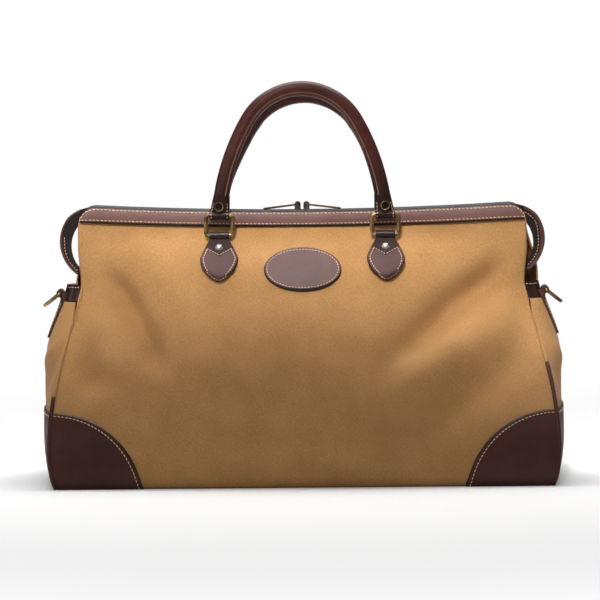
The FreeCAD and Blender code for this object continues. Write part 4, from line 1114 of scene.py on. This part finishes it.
def cover_stitching(end):
    """Thread along the top and the outer edge of a hinge cover, front and back."""
    low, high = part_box(f"{end}_hinge_cover")
    inner, outer = (high.x, low.x) if end == "left" else (low.x, high.x)
    sign = math.copysign(1, outer)
    top = [Vector((x, 0, high.z - 2.6 * MM)) for x in np.linspace(inner, outer - sign * 3 * MM, 12)]
    edge = [Vector((outer - sign * 2.4 * MM, 0, z)) for z in np.linspace(high.z - 4 * MM, low.z + 2 * MM, 8)]
    flats = [Flat(outward, f"{end}_hinge_cover") for outward in (-Y, Y)]
    rows = [flat.line(spots) for flat in flats for spots in (top, edge)]
    stitches(f"{end}_cover_stitching", "bag", [row for row in rows if len(row) > 2], FINE_THREAD)


def end_leather_stitching(end):
    """Thread along the top of an end's leather foot and down both edges of its ring tab."""
    low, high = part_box(f"{end}_gusset_foot")
    across = np.linspace(low.y + 5 * MM, high.y - 5 * MM, 40)
    foot = Flat(OUTWARD[end], f"{end}_gusset_foot")
    rows = [foot.line(Vector((0, y, high.z - 3 * MM)) for y in across)]
    low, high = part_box(f"{end}_ring_tab")
    heights = np.linspace(low.z + 2.5 * MM, high.z - 14 * MM, 20)
    tab = Flat(OUTWARD[end], f"{end}_ring_tab")
    for y in (low.y + 2.2 * MM, high.y - 2.2 * MM):
        rows.append(tab.line(Vector((0, y, z)) for z in heights))
    stitches(f"{end}_end_leather_stitching", "bag", rows, TAB_THREAD)


# ---- piping

PIPING_RADIUS = 2.1 * MM
PIPING_OUT = (1.3 * MM, 0.7 * MM)  # the cord's centre stands off the seam, sideways and outwards
PIPING_STEPS = 31
PIPING_ABOVE = {"left": 16 * MM, "right": 46 * MM}  # leather cord above the corner patches
PIPING_TOP = HINGE_Z - 28 * MM
PIPING_THINS = (HINGE_Z - 60 * MM, PIPING_TOP)  # the cord thins between these heights


def piping(side, face):
    """Covered cord down both seams of a long side: leather at the foot, canvas above."""
    outward = face.outward
    pieces = []
    for end in (-1, 1):
        world = "left" if face.across.x * end < 0 else "right"
        leather_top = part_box(f"corner_patch_{side}_left")[1].z + PIPING_ABOVE[world]
        for part, low, high, finish in (
            ("leather", 1.2 * MM, leather_top, DARK_BROWN),
            ("canvas", leather_top, PIPING_TOP, CANVAS),
        ):
            heights = np.linspace(low, high, PIPING_STEPS)
            depths = face.depths(heights, (-1, 1))[:, 0 if end < 0 else 1]
            points = []
            for z, depth in zip(heights, depths):
                spot = face.across * end * face.edge(z) + outward * depth + Z * z
                points.append(spot + X * np.sign(spot.x) * PIPING_OUT[0] + outward * PIPING_OUT[1])
            radii = PIPING_RADIUS * (1 - 0.7 * smooth(heights, *PIPING_THINS))
            pieces.append(tube(f"{side}_piping_{world}_{part}", points, radii, finish))
            dress(pieces[-1], "bag", "cord")
    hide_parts(f"{side}_piping")


# ---- stage, light and camera

WORLD_LIGHT = 0.04
FLOOR_SIZE = 60.0
FLOOR_LIFT = 0.12
FLOOR_PALE = 0.88  # the floor as the camera sees it
FLOOR_BOUNCE = 0.85  # the floor as a source of stray light
FLOOR_FADE = (0.45, 1.2)  # the floor turns into plain white between these distances
LAMPS = [
    # name, place, aim, width, depth, watts, spread in degrees
    ("key_strip", (-0.08, -0.29, 0.95), (0, -0.08, 0.2), 1.3, 0.35, 1.5, 180),
    ("upper_strip", (-0.15, -0.95, 1.20), (0, -0.06, 0.275), 1.9, 0.10, 1.05, 12),
    ("top_softbox", (0.0, 0.35, 1.5), (0, 0.0, 0.2), 1.5, 0.8, 24, 180),
    ("front_fill", (-0.6, -2.5, 1.3), (0, 0, 0.2), 1.6, 1.0, 8, 180),
    ("left_softbox", (-1.9, -0.6, 0.8), (0, 0, 0.2), 0.6, 1.1, 5, 180),
    ("right_softbox", (2.0, -0.6, 0.7), (0, 0, 0.2), 0.6, 1.1, 2, 180),
    ("back_softbox", (0.0, 1.9, 1.4), (0, 0, 0.2), 1.6, 1.0, 8, 180),
]

LENS = 270.0  # mm on a 36 mm wide film
SENSOR = 36.0
VIEW_WIDTH = 0.613  # width seen at the bag's front
CAMERA_RISE = 3.8  # degrees above the horizon
CAMERA_ROLL = -0.5  # degrees; the bag's right end stands a little higher in view
LOOK_AT = Vector((-0.003, -0.10, 0.191))


def sky():
    """White where it is seen, and a faint even light otherwise."""
    world = bpy.data.worlds.new("studio")
    bpy.context.scene.world = world
    world.use_nodes = True
    nodes = Nodes(world.node_tree)
    path = nodes.add("ShaderNodeLightPath")
    seen = nodes.sums("MAXIMUM", path["Is Camera Ray"], path["Is Transmission Ray"])
    strength = nodes.add("ShaderNodeMapRange", Value=seen, To_Min=WORLD_LIGHT, To_Max=1.0)
    background = world.node_tree.nodes["Background"]
    nodes.put(background, "Color", (1, 1, 1))
    nodes.put(background, "Strength", strength["Result"])


def floor():
    """Pale floor that keeps the shadow and turns into plain white further out."""
    shade = Shade("floor_white")
    seen = shade.add("ShaderNodeLightPath")["Is Camera Ray"]
    shade.done(Base_Color=shade.levels(seen, (0.0, FLOOR_BOUNCE), (1.0, FLOOR_PALE)), Roughness=0.9)
    glow = shade.add("ShaderNodeEmission", Strength=shade.sums("MULTIPLY", seen, FLOOR_LIFT))[0]
    lit = shade.add("ShaderNodeAddShader", (), shade.shader.outputs[0], glow)[0]
    distance = shade.add("ShaderNodeVectorMath", {"operation": "LENGTH"}, shade.place())["Value"]
    far = shade.add("ShaderNodeMapRange", {"interpolation_type": "SMOOTHSTEP"}, Value=distance,
                    From_Min=FLOOR_FADE[0], From_Max=FLOOR_FADE[1])["Result"]
    white = shade.add("ShaderNodeEmission")[0]
    whole = shade.add("ShaderNodeMixShader", (), shade.sums("MULTIPLY", far, seen), lit, white)[0]
    shade.put(shade.tree.nodes["Material Output"], "Surface", whole)
    half = FLOOR_SIZE / 2
    corners = [(-half, -half, 0), (half, -half, 0), (half, half, 0), (-half, half, 0)]
    mesh_piece("floor", corners, [(0, 1, 2, 3)], shade.material, flat=True)


def lamps():
    for name, place, aim, width, depth, power, spread in LAMPS:
        lamp = bpy.data.lights.new(name, "AREA")
        lamp.shape = "RECTANGLE"
        lamp.size, lamp.size_y = width, depth
        lamp.energy = power
        lamp.spread = math.radians(spread)
        holder = put_in_scene(name, lamp)
        holder.location = place
        holder.rotation_euler = (Vector(aim) - Vector(place)).to_track_quat("-Z", "Y").to_euler()


def camera():
    data = bpy.data.cameras.new("camera")
    data.lens = LENS
    data.sensor_width = SENSOR
    rise = math.radians(CAMERA_RISE)
    back = Vector((0, -math.cos(rise), math.sin(rise)))
    holder = put_in_scene("camera", data)
    holder.location = LOOK_AT + back * VIEW_WIDTH * LENS / SENSOR
    turn = (-back).to_track_quat("-Z", "Y").to_matrix().to_4x4()
    holder.rotation_euler = (turn @ Matrix.Rotation(math.radians(CAMERA_ROLL), 4, "Z")).to_euler()
    bpy.context.scene.camera = holder


# ---- the bag

dress_cad_nodes()
for side in SIDES:
    cloth = side_cloth(side)
    rows = [corner_patch(side, end, cloth) for end in ENDS]
    stitches(f"{side}_patch_stitching", "bag", rows, THICK_THREAD)
    top_band(side)
    chape_dressing(side)
    grip(side)
    end_stitching(side)
    stud_rings(side)
    loop_trim(side)
    piping(side, cloth)
for end in ENDS:
    end_cloth(end)
    cover_stitching(end)
    end_leather_stitching(end)
badge()

sky()
floor()
lamps()
camera()
bpy.context.scene.view_settings.view_transform = "Standard"
